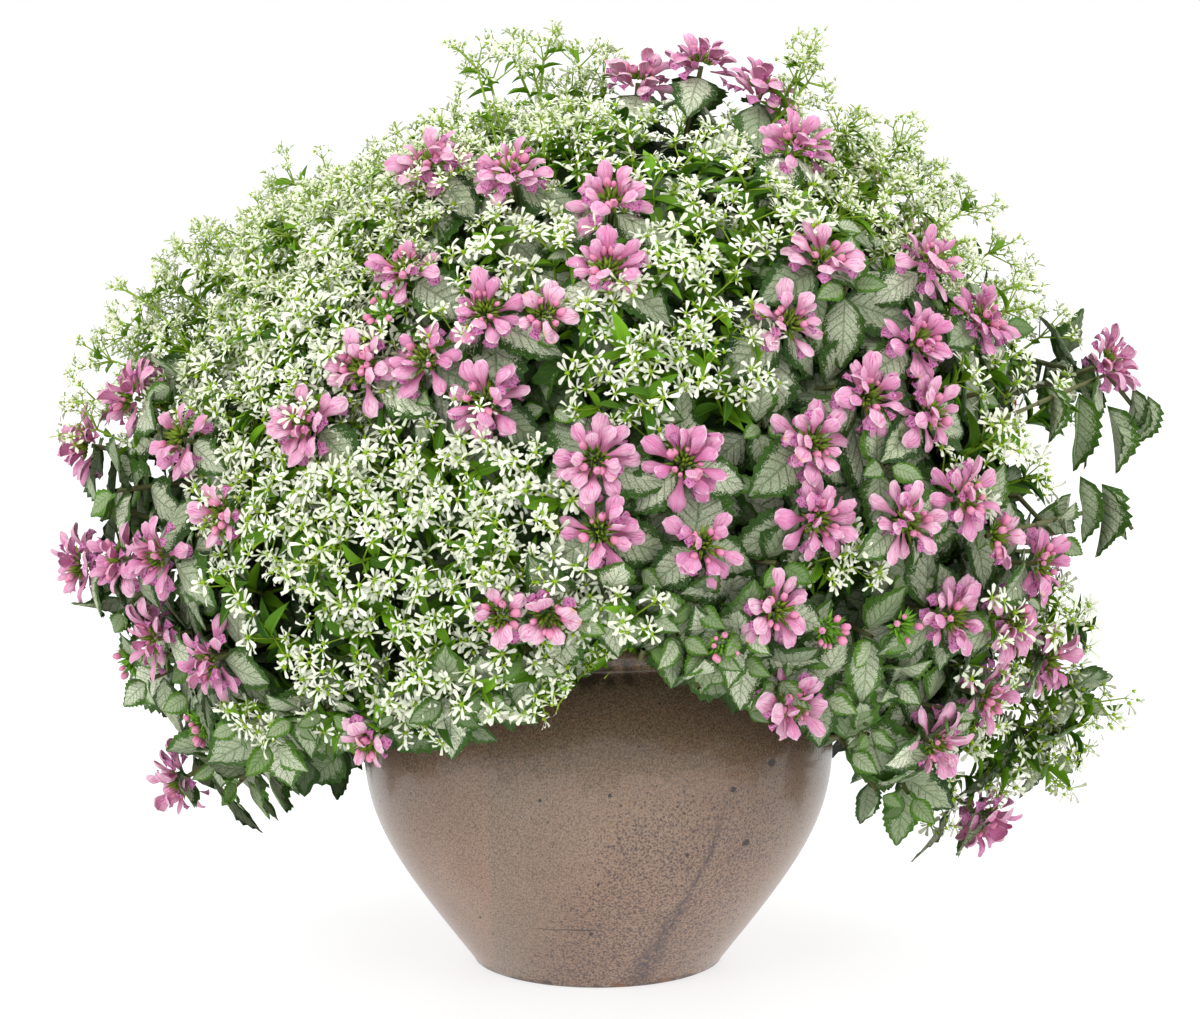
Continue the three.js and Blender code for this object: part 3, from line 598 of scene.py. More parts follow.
def star_shape(bracts, cup, fine):
    """A starry flower one across, facing z: bracts of unlike lengths round a
    small green cup."""
    turns = 2 * math.pi * (np.arange(bracts) + draws.uniform(-0.3, 0.3, bracts)) / bracts
    lengths = draws.uniform(0.6, 1.1, bracts)
    cups = cup * draws.uniform(0.6, 1.4, bracts)
    petals = [bract_shape(*values, fine) for values in zip(turns, lengths, cups)]
    points, triangles, uv = spike_shape(4 if fine else 3)
    wide = 1.25 if fine else 1.0
    points = np.column_stack([wide * points[:, 1], wide * points[:, 2], points[:, 0] * 0.46 - 0.12])
    return joined([*petals, (points, triangles, 0 * uv - 0.2)])


def foot_ring(centres, along, radius, turns):
    """Corners round each centre, square to the direction of its rod."""
    return [centres + around(along, turn) * radius for turn in turns]


def needles(starts, ends, thick):
    """Thin three-sided stalks that taper to a point."""
    feet = foot_ring(starts, unit(ends - starts), thick, (0.0, 2.1, 4.2))
    triangles = np.array([[0, 1, 3], [1, 2, 3], [2, 0, 3]])
    uv = np.array([(0.0, 0), (0, 0), (0, 0), (1, 0)])
    return repeated(np.stack([*feet, ends], axis=1), triangles, uv)


def rods(starts, ends, thick, sides):
    """Straight three- or four-sided twigs that taper from thick to thin."""
    i = np.arange(sides)
    along, turns, after = unit(ends - starts), i * 2 * math.pi / sides, (i + 1) % sides
    low, high = foot_ring(starts, along, thick, turns), foot_ring(ends, along, 0.75 * thick, turns)
    one = np.column_stack([i, after, after + sides])
    two = np.column_stack([i, after + sides, i + sides])
    uv = np.column_stack([np.repeat([0.0, 1.0], sides), np.zeros(2 * sides)])
    return repeated(np.stack([*low, *high], axis=1), np.concatenate([one, two]), uv)


class Piece:
    """Gathers shapes into one mesh, with a tint of three draws on each."""

    def __init__(self, name, material, slot, replaces=()):
        self.name, self.material, self.slot, self.replaces = name, material, slot, replaces
        self.shapes, self.tints = [], []

    def add(self, shape, tint=(0, 0, 0)):
        self.shapes.append(shape)
        self.tints.append(np.broadcast_to(tint, (len(shape[0]), 3)))

    def stamp(self, shape, places, frames, sizes, tints, by_pot=False):
        """A copy of the shape at each place, turned by its frame and sized. By
        the pot, copies bend round it, and the ones that would hide it go."""
        points, triangles, uv = shape
        if not len(places):
            return
        local = points * np.reshape(sizes, (len(places), 1, -1))
        world = np.einsum("mni,mij->mnj", local, frames) + places[:, None]
        if by_pot:
            kept = ~bares_pot(world.reshape(-1, 3)).reshape(len(places), -1).any(axis=1)
            world, tints = world[kept], tints[kept]
            world = outside_pot(world.reshape(-1, 3)).reshape(world.shape)
        self.shapes.append(repeated(world, triangles, uv))
        self.tints.append(np.repeat(tints, len(points), axis=0))

    def build(self):
        points, triangles, uv = joined(self.shapes)
        mesh = bpy.data.meshes.new(self.name)
        mesh.vertices.add(len(points))
        mesh.vertices.foreach_set("co", points.astype(np.float32).ravel())
        mesh.loops.add(triangles.size)
        mesh.loops.foreach_set("vertex_index", triangles.astype(np.int32).ravel())
        mesh.polygons.add(len(triangles))
        mesh.polygons.foreach_set("loop_start", np.arange(0, triangles.size, 3, dtype=np.int32))
        mesh.polygons.foreach_set("use_smooth", np.ones(len(triangles), bool))
        mesh.update(calc_edges=True)
        layer = mesh.uv_layers.new(name="shape")
        layer.data.foreach_set("uv", uv[triangles.ravel()].astype(np.float32).ravel())
        colour = np.column_stack([np.concatenate(self.tints), np.ones(len(points))])
        attribute = mesh.attributes.new("tint", "FLOAT_COLOR", "POINT")
        attribute.data.foreach_set("color", colour.astype(np.float32).ravel())
        mesh.materials.append(self.material)
        piece = bpy.data.objects.new(self.name, mesh)
        bpy.context.scene.collection.objects.link(piece)
        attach(piece, "root")
        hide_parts(*self.replaces)
        print(f"{self.name}: {len(triangles)} triangles")


# Materials

def operation(name, swapped=False):
    """A method of Value that adds a Math node."""
    def method(self, other=None):
        first, second = (other, self) if swapped else (self, other)
        return self.finish.math(name, first, second)
    return method


class Value:
    """A socket that can be reckoned with. The | of two masks is the greater."""

    __add__ = operation("ADD")
    __mul__ = operation("MULTIPLY")
    __sub__, __rsub__ = operation("SUBTRACT"), operation("SUBTRACT", swapped=True)
    __truediv__ = operation("DIVIDE")
    __or__ = operation("MAXIMUM")
    __lt__, __gt__ = operation("LESS_THAN"), operation("GREATER_THAN")
    __abs__ = operation("ABSOLUTE")

    def __init__(self, finish, socket):
        self.finish, self.socket = finish, socket

    def rise(self, low, high):
        """0 below low, 1 above high and smooth between them."""
        made = self.finish.node("ShaderNodeMapRange", self, low, high, interpolation_type="SMOOTHSTEP")
        return Value(self.finish, made.outputs[0])

    def fall(self, low, high):
        return 1.0 - self.rise(low, high)

    def between(self, low, high, soft):
        """1 between low and high, fading out to 0 over a soft width beyond them."""
        return self.rise(low - soft, low) - self.rise(high, high + soft)


class Finish:
    """A procedural material. Values and numbers can both be passed as inputs."""

    def __init__(self, name):
        self.material = bpy.data.materials.new(name)
        self.material.use_nodes = True
        self.tree = self.material.node_tree
        self.shader = self.tree.nodes["Principled BSDF"]

    def give(self, socket, value):
        if isinstance(value, Value):
            self.tree.links.new(value.socket, socket)
        elif socket.type == "RGBA":
            socket.default_value = (*value, 1.0)
        elif value is not None:
            socket.default_value = value

    def node(self, kind, *inputs, **settings):
        made = self.tree.nodes.new(kind)
        for key, value in settings.items():
            setattr(made, key, value)
        for socket, value in zip([s for s in made.inputs if s.enabled], inputs):
            self.give(socket, value)
        return made

    def values(self, sockets):
        return [Value(self, socket) for socket in sockets]

    def math(self, name, *inputs):
        return Value(self, self.node("ShaderNodeMath", *inputs, operation=name).outputs[0])

    def mix(self, share, one, other):
        made = self.tree.nodes.new("ShaderNodeMix")
        made.data_type = "RGBA"
        for socket, value in zip((made.inputs[0], *made.inputs[6:8]), (share, one, other)):
            self.give(socket, value)
        return Value(self, made.outputs[2])

    def texture(self, kind, vector, scale, **settings):
        made = self.node(kind, **settings)
        self.give(made.inputs["Vector"], vector)
        made.inputs["Scale"].default_value = scale
        return made

    def noise(self, vector, scale, detail=2.0, rough=0.5):
        made = self.texture("ShaderNodeTexNoise", vector, scale)
        made.inputs["Detail"].default_value = detail
        made.inputs["Roughness"].default_value = rough
        return Value(self, made.outputs["Fac"])

    def cells(self, vector, scale, feature="F1"):
        made = self.texture("ShaderNodeTexVoronoi", vector, scale, feature=feature)
        return Value(self, made.outputs["Distance"])

    def dots(self, vector, scale, radius, share):
        """Round dots in a share of the cells, as a mask."""
        made = self.texture("ShaderNodeTexVoronoi", vector, scale)
        away, colour = self.values([made.outputs["Distance"], made.outputs["Color"]])
        draw = self.parts(colour, "ShaderNodeSeparateColor")[0]
        return away.fall(0.7 * radius, radius) * (draw < share)

    def parts(self, vector, kind="ShaderNodeSeparateXYZ"):
        return self.values(self.node(kind, vector).outputs)

    def place(self):
        return Value(self, self.node("ShaderNodeTexCoord").outputs["Object"])

    def uv(self):
        """Along, across, and how far from the middle line to the edge."""
        u, v, _ = self.parts(Value(self, self.node("ShaderNodeUVMap", uv_map="shape").outputs["UV"]))
        return u, v, abs(v * 2.0 - 1.0)

    def tint(self):
        colour = self.node("ShaderNodeAttribute", attribute_name="tint").outputs["Color"]
        return self.parts(Value(self, colour), "ShaderNodeSeparateColor")

    def vector(self, x, y, z):
        return Value(self, self.node("ShaderNodeCombineXYZ", x, y, z).outputs[0])

    def bump(self, height, strength, distance):
        made = self.node("ShaderNodeBump")
        made.inputs["Strength"].default_value = strength
        made.inputs["Distance"].default_value = distance
        self.give(made.inputs["Height"], height)
        self.tree.links.new(made.outputs[0], self.shader.inputs["Normal"])

    def set(self, **values):
        for key, value in values.items():
            self.give(self.shader.inputs[key.replace("_", " ")], value)
        return self.material

    def matt(self, colour, rough=0.6, shine=0.2):
        return self.set(Base_Color=colour, Roughness=rough, Specular_IOR_Level=shine)


def leaf_finish():
    """Silver in the middle with a fine green net of veins, green at the edge."""
    f = Finish("deadnettle_leaf")
    u, v, side = f.uv()
    silver_share, light, yellow = f.tint()
    sheet_place = f.vector(u, v * 0.85, light)
    blotch, fleck = f.noise(sheet_place, 7.0, 2.0, 0.6), f.noise(sheet_place, 34.0, 2.0, 0.75)
    inside = (side + (blotch - 0.5) * 0.6 + u.rise(0.7, 1.0) * 0.35).fall(0.36, 0.86)
    rib = abs(f.math("FRACT", (u - side * 0.33) * 7.0 + 0.5) - 0.5)
    vein = rib.fall(0.02, 0.13) | side.fall(0.01, 0.06)
    net = f.cells(sheet_place, 24.0, "DISTANCE_TO_EDGE").fall(0.01, 0.10)
    lines = vein * 0.75 | net * 0.5
    green = f.mix(light, (0.010, 0.036, 0.006), (0.032, 0.092, 0.010))
    green = f.mix(yellow, green, (0.085, 0.215, 0.010))
    green = f.mix(lines * 0.35, green, (0.08, 0.17, 0.03))
    silver = f.mix(light, (0.50, 0.56, 0.38), (0.93, 0.96, 0.76))
    silver = f.mix(fleck.rise(0.36, 0.60), f.mix(0.45, silver, (0.12, 0.20, 0.06)), silver)
    silver = f.mix(lines * 0.75, silver, (0.09, 0.18, 0.04))
    share = (inside + (fleck - 0.5) * 2.4).rise(0.20, 0.80) * silver_share
    f.bump(f.cells(sheet_place, 11.0) * -0.6 - vein * 0.75, 0.6, 0.0012)
    return f.matt(f.mix(share, green, silver))


def painted_shade_core_finish():
    """Painted shade deep inside the plant: near-black greens where the tangle of twigs and leaves lies in
    shade.
    """
    f = Finish("painted_shade_core")
    gap = f.cells(f.place(), 90.0).rise(0.1, 0.7)
    return f.matt(f.mix(gap, (0.004, 0.011, 0.001), (0.022, 0.055, 0.004)), 0.9, 0.1)


def petal_finish():
    """Pink hoods with a painted highlight along their rims and tips, fine veins, and magenta lower lips."""
    f = Finish("deadnettle_petal")
    u, v, side = f.uv()
    pale, deep, faded = f.tint()
    vein = f.noise(f.vector(u * 1.4, v * 13.0, deep * 9.0), 3.0)
    deep_pink = f.mix(deep, (0.54, 0.085, 0.28), (0.64, 0.16, 0.36))
    light_pink = f.mix(pale, (0.64, 0.27, 0.46), (0.80, 0.56, 0.65))
    lines = vein.rise(0.45, 0.57) * (side.fall(0.0, 0.75) * 0.60 + 0.32)
    hood = f.mix(u.fall(0.15, 0.75) * 0.75 | lines, light_pink, deep_pink)
    # A pale painted highlight along each hood's rim and tip
    hem = side.rise(0.84, 0.98) | u.rise(0.93, 1.0)
    hood = f.mix(hem * 0.7, hood, (0.84, 0.64, 0.70))
    worn = faded.rise(0.93, 0.97) * (u + vein * 0.2).rise(1.04, 1.10)
    hood = f.mix(worn, hood, (0.62, 0.30, 0.12))
    lower = f.mix(f.noise(f.place(), 900.0).rise(0.5, 0.6), (0.72, 0.32, 0.56), (0.46, 0.05, 0.28))
    f.bump(vein, 0.45, 0.0006)
    return f.matt(f.mix(v > LIP_V - 0.5, hood, lower), shine=0.3)


def calyx_finish():
    """Olive green teeth with rusty tips, fresh green ones, and pink buds."""
    f = Finish("calyx")
    u = f.uv()[0]
    light, rosy, fresh = f.tint()
    olive = f.mix(light, (0.045, 0.095, 0.006), (0.22, 0.33, 0.025))
    olive = f.mix(u.rise(0.55, 1.0) * 0.55, olive, (0.20, 0.07, 0.03))
    green = f.mix(fresh, olive, f.mix(light, (0.06, 0.19, 0.01), (0.20, 0.46, 0.03)))
    bud = f.mix(u, (0.60, 0.14, 0.30), (0.80, 0.33, 0.48))
    return f.matt(f.mix(rosy > 0.5, green, bud), 0.55)


def star_finish():
    """White bracts that turn green at their foot, round a lime-green cup."""
    f = Finish("spurge_bract")
    light, cream, _ = f.tint()
    white = f.mix(cream, (0.85, 0.87, 0.77), (0.87, 0.91, 0.66))
    white = f.mix(light, f.mix(0.5, white, (0.50, 0.58, 0.38)), white)
    return f.matt(f.mix(f.uv()[0].rise(0.10, 0.50), (0.30, 0.48, 0.015), white))


def twig_finish():
    """Lime-green twigs that redden where they branch, painted darker where they lie deep in the plant, as
    shade.
    """
    f = Finish("spurge_twig")
    green = f.mix(f.tint()[0], (0.08, 0.18, 0.008), (0.32, 0.50, 0.035))
    return f.matt(f.mix(f.uv()[0].fall(0.0, 0.16) * 0.5, green, (0.26, 0.09, 0.05)), 0.5)


def lance_finish():
    """Smooth green leaves with a paler midrib."""
    f = Finish("spurge_leaf")
    green = f.mix(f.tint()[0], (0.022, 0.090, 0.003), (0.180, 0.400, 0.010))
    return f.matt(f.mix(f.uv()[2].fall(0.02, 0.16) * 0.6, green, (0.20, 0.38, 0.05)), 0.5)


def stem_finish():
    """Green stems with brownish streaks, painted darker where they lie deep in the plant, as shade."""
    f = Finish("deadnettle_stem")
    green = f.mix(f.tint()[0], (0.05, 0.10, 0.02), (0.13, 0.20, 0.05))
    return f.matt(f.mix(f.noise(f.place(), 300.0), green, (0.12, 0.07, 0.05)))


def soil_finish():
    """Dark crumbs of unlike browns."""
    f = Finish("soil")
    place = f.place()
    f.bump(f.cells(place, 220.0), 0.9, 0.003)
    colour = f.mix(f.noise(place, 90.0, 4.0), (0.010, 0.006, 0.004), (0.060, 0.036, 0.022))
    return f.set(Base_Color=colour, Roughness=0.95)


def glaze_body(f, place, grain):
    """The sandy taupe of the lower body, with a greyer upright zone."""
    x, y, z = f.parts(place)
    cloud = f.noise(place, 12.0, 2.0, 0.6).rise(0.34, 0.66)
    body = f.mix(cloud, (0.255, 0.140, 0.090), (0.300, 0.188, 0.128))
    grey = (x.rise(-0.066, -0.061) - x.rise(-0.055, 0.015)) * (y < 0.0)
    body = f.mix(grey * 0.55, body, (0.190, 0.150, 0.110))
    body = f.mix(z.between(0.105, 0.140, 0.04) * 0.3, body, (0.205, 0.160, 0.120))
    dark, light = f.mix(0.40, body, (0.08, 0.05, 0.04)), f.mix(0.14, body, (0.70, 0.55, 0.42))
    return f.mix(grain.rise(0.38, 0.62), dark, light)


def glaze_band(f, place, grain, body):
    """The darker olive band above, with a ragged edge that drips."""
    x, y, z = f.parts(place)
    runs = f.noise(f.vector(x, y, z * 0.2), 45.0, 3.0)
    height = runs.rise(0.40, 0.66) * 0.013 + z
    band = z.rise(0.130, 0.180) * 0.50 + height.rise(0.1455, 0.1475) * 0.40
    upper = f.mix(grain.rise(0.38, 0.62), (0.100, 0.068, 0.039), (0.235, 0.170, 0.110))
    return f.mix(band, body, upper), band


def glaze_freckles(f, place, colour):
    """Fine dark freckles all over, rusty ones above, and a dense purple fan
    round a smoky streak that leans across the front's right half."""
    x, y, z = f.parts(place)
    colour = f.mix(f.dots(place, 640.0, 0.38, 0.42) * 0.60, colour, (0.055, 0.040, 0.034))
    rust = f.dots(place, 520.0, 0.36, 0.30) * z.rise(0.07, 0.13)
    colour = f.mix(rust * 0.6, colour, (0.29, 0.14, 0.05))
    lean = z * 0.480 + 0.0210 + ((z - 0.092) | 0.0) * -0.21
    across = x - lean + (f.noise(place, 40.0, 4.0) - 0.5) * 0.005
    front = (y < 0.0) * z.fall(0.095, 0.145)
    fan = across.between(-0.040, 0.018, 0.040) * front
    purple = f.dots(place, 560.0, 0.50, fan) * 0.62 | f.dots(place, 330.0, 0.36, fan * 0.30) * 0.75
    colour = f.mix(purple, colour, (0.046, 0.034, 0.046))
    smoke = (abs(across) / (z.fall(0.02, 0.08) * 0.0090 + 0.0030)).fall(0.1, 1.0)
    smoke = smoke * front * f.noise(place, 420.0, 3.0, 0.8).rise(0.36, 0.58)
    return f.mix(smoke * 0.80, colour, (0.065, 0.045, 0.052))


def glaze_marks_and_lip_shadow(f, place):
    """Where single pits, a fine crack and a painted shadow under the lip lie."""
    x, y, z = f.parts(place)
    uneven = (f.noise(place, 500.0) - 0.5) * 0.0022
    marks = f.dots(place, 90.0, 0.10, 0.45) * 0.8
    for across, up, radius in PITS:
        aside, above = x - across, z - up
        away = f.math("SQRT", aside * aside + above * above)
        marks = marks | (away + uneven).fall(0.5 * radius, radius)
    crack = z - 0.0415 - f.noise(place, 60.0) * 0.006
    crack = crack.between(-0.0002, 0.0002, 0.0005) * x.between(-0.033, -0.002, 0.008)
    # A painted shadow under the rolled lip, on the front
    lip_shadow = x.between(-0.013, 0.016, 0.012) * z.between(0.196, 0.206, 0.006)
    lip_shadow = lip_shadow * f.noise(place, 120.0, 3.0).rise(0.35, 0.55)
    return (marks | (crack | lip_shadow) * 0.75) * (y < 0.0)


def glaze_finish():
    """The whole glaze, down to the rusty edge that the pot stands on."""
    f = Finish("pot_glaze")
    place = f.place()
    grain = f.noise(place, 900.0, 2.0, 0.85)
    colour, band = glaze_band(f, place, grain, glaze_body(f, place, grain))
    marks = glaze_marks_and_lip_shadow(f, place)
    # The pits, the crack and the painted shadow under the lip darken the glaze here
    colour = f.mix(marks * 0.9, glaze_freckles(f, place, colour), (0.022, 0.015, 0.014))
    edge = f.parts(place)[2] - f.noise(place, 60.0).rise(0.4, 0.6) * 0.003
    rusty = f.mix(f.noise(place, 30.0).rise(0.50, 0.62), (0.060, 0.035, 0.022), (0.20, 0.085, 0.032))
    colour = f.mix(edge.fall(-0.001, 0.002), colour, rusty)
    f.bump(grain * 0.3 - marks, 0.25, 0.0010)
    rough = grain * 0.12 + 0.24 - band * 0.06
    return f.set(
        Base_Color=colour, Roughness=rough, Specular_IOR_Level=0.35, Coat_Weight=0.3, Coat_Roughness=0.1
    )


# The pot and its soil

def cubic(a, b, c, d, count):
    t = np.linspace(0, 1, count)[:, None]
    a, b, c, d = np.array([a, b, c, d])
    return a * (1 - t) ** 3 + 3 * b * t * (1 - t) ** 2 + 3 * c * t**2 * (1 - t) + d * t**3


def wall(inset):
    """The wall's profile from foot to neck, moved in by an inset."""
    foot, belly, neck = FOOT_RADIUS - inset, BELLY_RADIUS - inset, NECK_RADIUS - inset
    lower = cubic((foot, FOOT_CHAMFER), (foot + 0.050, 0.068), (belly, 0.092), (belly, BELLY_HEIGHT), 26)
    upper = cubic((belly, BELLY_HEIGHT), (belly, 0.166), (neck + 0.012, 0.192), (neck, NECK_HEIGHT), 16)
    return np.concatenate([lower, upper[1:]])


def lip_curve():
    """The rolled lip: out from the neck, round and over to the inside."""
    tall = (POT_HEIGHT - NECK_HEIGHT) / 2
    turn = np.linspace(-0.42 * math.pi, 0.62 * math.pi, 14)
    return np.column_stack([LIP_RADIUS - tall + tall * np.cos(turn), POT_HEIGHT - tall + tall * np.sin(turn)])


def turned(profile):
    """A surface of revolution about the axis, slightly uneven as if thrown."""
    turn = np.linspace(0, 2 * math.pi, POT_SEGMENTS + 1)
    radius, height = np.array(profile).T[:, :, None]
    uneven = 1 + POT_WOBBLE * (np.sin(2 * turn + 18 * height) + 0.6 * np.sin(3 * turn - 30 * height))
    return sheet(radius * uneven * np.cos(turn), radius * uneven * np.sin(turn), height, turn, height)


def drain_rims(height):
    """The round edges of the drain holes at a height."""
    turn = np.arange(32) * 2 * math.pi / 32
    rims = []
    for angle in np.arange(DRAINS) * 2 * math.pi / DRAINS:
        x = DRAIN_CIRCLE * math.cos(angle) + DRAIN_RADIUS * np.cos(turn)
        y = DRAIN_CIRCLE * math.sin(angle) + DRAIN_RADIUS * np.sin(turn)
        rims.append(np.column_stack([x, y, 0 * turn + height]))
    return rims


def pierced_disc(radius, height, facing):
    """A level disc with the drain holes in it, facing up (1) or down (-1)."""
    edge = turned([(radius, height), (radius, height)])[0][:POT_SEGMENTS]
    loops = [edge, *drain_rims(height)]
    points = np.concatenate(loops)
    triangles = np.array(tessellate_polygon([[Vector(p) for p in loop] for loop in loops]))
    a, b, c = np.moveaxis(points[triangles], 1, 0)
    up = np.cross(b - a, c - a)[:, 2:]
    triangles = np.where(up * facing > 0, triangles, triangles[:, ::-1])
    return points, triangles, 0 * points[:, :2]


def drain_walls():
    """The holes' sides, through the pot's floor."""
    tubes = []
    for rims in zip(drain_rims(0.0), drain_rims(FLOOR)):
        rows = np.concatenate([rims, np.array(rims)[:, :1]], axis=1)
        tubes.append(sheet(*np.moveaxis(rows, 2, 0), 0, 0))
    return tubes


def build_pot():
    outside = [(FOOT_RADIUS - FOOT_CHAMFER, 0), (FOOT_RADIUS - 0.001, 0.001), *wall(0), *lip_curve()]
    inside = [(NECK_RADIUS - WALL, POT_HEIGHT - 0.008), *wall(WALL)[::-4], (FOOT_RADIUS - WALL, FLOOR)]
    under = pierced_disc(FOOT_RADIUS - FOOT_CHAMFER, 0.0, -1)
    floor = pierced_disc(FOOT_RADIUS - WALL, FLOOR, 1)
    piece = Piece("glazed_pot", glaze_finish(), "pot_glaze", ["pot"])
    for shape in (turned(outside + inside), under, floor, *drain_walls()):
        piece.add(shape)
    piece.build()


def build_soil():
    """The soil's crumbly surface, down to the pot's floor."""
    radii = np.linspace(0, NECK_RADIUS - WALL - SOIL_PLAY, 22)
    turn = np.linspace(0, 2 * math.pi, 97)
    height = SOIL_LEVEL + SOIL_CROWN * (1 - (radii / radii[-1]) ** 2)[:, None] + 0 * turn
    height[:-1] += draws.normal(0, 0.0012, height[:-1].shape)
    height[:, -1] = height[:, 0]
    height[0] = height[0, 0]
    side = wall(WALL + SOIL_PLAY)[::-3]
    low = FLOOR + SOIL_PLAY
    side = [*side[side[:, 1] < SOIL_LEVEL - SOIL_CROWN], (FOOT_RADIUS - WALL - SOIL_PLAY, low), (0, low)]
    side_radii, side_height = np.array(side).T
    radius = np.append(radii, side_radii)[:, None]
    height = np.concatenate([height, side_height[:, None] + 0 * turn])
    x, y = radius * np.cos(turn), radius * np.sin(turn)
    piece = Piece("soil_surface", soil_finish(), "soil", ["potting_soil"])
    piece.add(sheet(x, y, height, 8 * x, 8 * y))
    piece.build()


# Flower heads

def head_table():
    """Place and axis of each head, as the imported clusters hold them."""
    places, axes = [], []
    for blooms, side in ((FRONT_BLOOMS, FRONT), (BACK_BLOOMS, BACK)):
        spots = on_canopy([spot for bloom in blooms for spot in bloom], side)
        root = drooping(unit(spots - HEART), 0.05)
        root[:, 2] = np.maximum(root[:, 2], skirt(root) + 0.02)
        places.append(spots)
        axes.append(unit(spots - from_heart(unit(root), HEAD_ROOT_SHARE)))
    return np.concatenate(places), np.concatenate(axes)


def tints(count, *ranges):
    """Draws for each copy: one column for each (low, high)."""
    return np.column_stack([draws.uniform(low, high, count) for low, high in ranges])


def ring(places, axes, count, tilt, spread, radius, low=0.0):
    """Directions, axes and feet of pieces that stand in a ring round each head."""
    heads = len(axes)
    axis = np.repeat(axes, count, axis=0)
    start = np.repeat(draws.uniform(0, 2 * math.pi, heads), count)
    step = np.tile(np.arange(count) * 2 * math.pi / count, heads)
    turn = start + step + draws.uniform(-0.38, 0.38, heads * count)
    out = around(axis, turn, draws.uniform(tilt - spread, tilt + spread, heads * count))
    feet = np.repeat(places, count, axis=0) + around(axis, turn) * radius + axis * low
    return out, axis, feet


def add_florets(petals, hoods, places, axes, tier, pale, faded):
    """One tier of florets round each head."""
    count, length, share = tier[0], *tier[5:]
    out, axis, feet = ring(places, axes, *tier[:5])
    kind = draws.integers(0, len(hoods), len(out))
    kept = draws.uniform(0, 1, len(out)) < share
    size = length * draws.uniform(0.74, 1.12, len(out))
    tint = tints(len(out), (-0.25, 0.25), (0, 1), faded)
    tint[:, 0] = np.clip(tint[:, 0] + np.repeat(pale, count), 0, 1)
    for i, hood in enumerate(hoods):
        one = kept & (kind == i)
        frames = frames_of(out[one], axis[one] + draws.normal(0, 0.3, (one.sum(), 3)))
        petals.stamp(hood, feet[one], frames, size[one], tint[one])


def add_calyces(calyces, places, axes, fresh):
    """The green teeth and pink beads in the middle of each whorl."""
    spike = spike_shape(3)
    for count, tilt, spread, radius, length in CALYX_TIERS:
        out, axis, feet = ring(places, axes, count, tilt, spread, radius)
        tint = tints(len(out), (0.2, 1.0), (0, 0.4), (0, 0.1))
        tint[:, 2] += np.repeat(fresh, count)
        calyces.stamp(spike, feet, frames_of(out, axis), length * draws.uniform(0.8, 1.2, len(out)), tint)
    out, axis, feet = ring(places, axes, *BEAD_TIER)
    kept = draws.uniform(0, 1, len(out)) > 0.3
    tint = tints(len(out), (0, 1), (0.6, 1), (0, 1))
    size = BEAD_LENGTH * draws.uniform(0.6, 1.3, len(out))
    calyces.stamp(bead_shape(), feet[kept], frames_of(out[kept], axis[kept]), size[kept], tint[kept])


def build_blooms(places, axes):
    petals = Piece("deadnettle_florets", petal_finish(), "deadnettle_petals", nodes_like("deadnettle_bloom"))
    calyces = Piece("deadnettle_calyces", calyx_finish(), "deadnettle_petals")
    hoods = [joined([hood_shape(*values), lip_shape()]) for values in HOOD_KINDS]
    pale = draws.uniform(0.1, 0.8, len(axes))
    for tier in FLORET_TIERS:
        add_florets(petals, hoods, places, axes, tier, pale, (0, 1))
    faded = on_canopy(FADED_BLOOMS)
    faded_axes = unit(faded - HEART + draws.normal(0, 0.04, faded.shape))
    faded_pale = draws.uniform(0.7, 1.0, len(faded))
    add_florets(petals, hoods, faded, faded_axes, FADED_TIER, faded_pale, (0.4, 1.05))
    buds = on_canopy(BUD_WHORLS)
    places = np.concatenate([places, faded, buds])
    axes = np.concatenate([axes, faded_axes, unit(buds - HEART)])
    add_calyces(calyces, places, axes, np.arange(len(places)) >= len(places) - len(buds))
    petals.build()
    calyces.build()


# Leaves, stems and the painted shade core

def leaf_pairs(piece, shapes, places, axes, gap, pairs, grown=1.0):
    """Crossed pairs of leaves down a stem, a gap apart: each pair below is larger."""
    count = len(places)
    for level, (size, tilt, silver, yellow) in enumerate(pairs):
        for half in (0, math.pi):
            turn = draws.uniform(-0.3, 0.3, count) + half + (level % 2) * math.pi / 2
            out = drooping(around(axes, turn, tilt + draws.uniform(-0.2, 0.2, count)), LEAF_DROOP)
            length = grown * size * draws.uniform(0.82, 1.12, count)
            width = length * LEAF_WIDTH / LEAF_LENGTH * draws.uniform(0.88, 1.08, count)
            tint = tints(count, silver, (0, 1), yellow)
            kind = draws.integers(0, len(shapes), count)
            for i, shape in enumerate(shapes):
                one = kind == i
                frames = frames_of(out[one], axes[one])
                scale = np.column_stack([length, width, length])[one]
                feet = places[one] - axes[one] * gap * level + frames[:, 0] * LEAF_STALK
                piece.stamp(shape, feet, frames, scale, tint[one], by_pot=True)


def shoot_tips(heads):
    """Leafy tips all over the canopy, few where the spurge covers it."""
    way = evenly(ROSETTES)
    way = unit(way + draws.normal(0, 0.02, way.shape))
    tips = from_heart(way, draws.uniform(*TIP_SHARES, len(way)))
    close, airy = in_patches(tips, 0, AIRY_FROM), in_patches(tips, AIRY_FROM, 1)
    for covered, (share, _) in ((close, CLOSE_TIPS), (airy, AIRY_TIPS)):
        tips = np.where(covered[:, None], drawn_in(tips, share), tips)
    lean = unit(way + np.array([0, 0, 0.1]) + draws.normal(0, 0.25, way.shape))
    kept = (np.abs(shown_at(tips) - GAP_AT) > GAP_HALF).any(axis=1)
    tips = below_crown(tips, TIP_ROOM)
    kept &= np.linalg.norm(tips[:, None] - heads, axis=2).min(axis=1) > HEAD_ROOM
    chance = draws.uniform(0, 1, len(tips))
    kept &= (~close | (chance < CLOSE_TIPS[1])) & (~airy | (chance < AIRY_TIPS[1]))
    return tips[kept], lean[kept]


def fringe_tips():
    """The leafy tips that hang at the plant's edges."""
    tips = drawn_in(on_canopy(FRINGE), FRINGE_SHARE)
    lean = unit(tips - HEART) * 0.6 + np.array([0, -0.55, -0.25])
    return tips, unit(lean + draws.normal(0, 0.20, tips.shape))


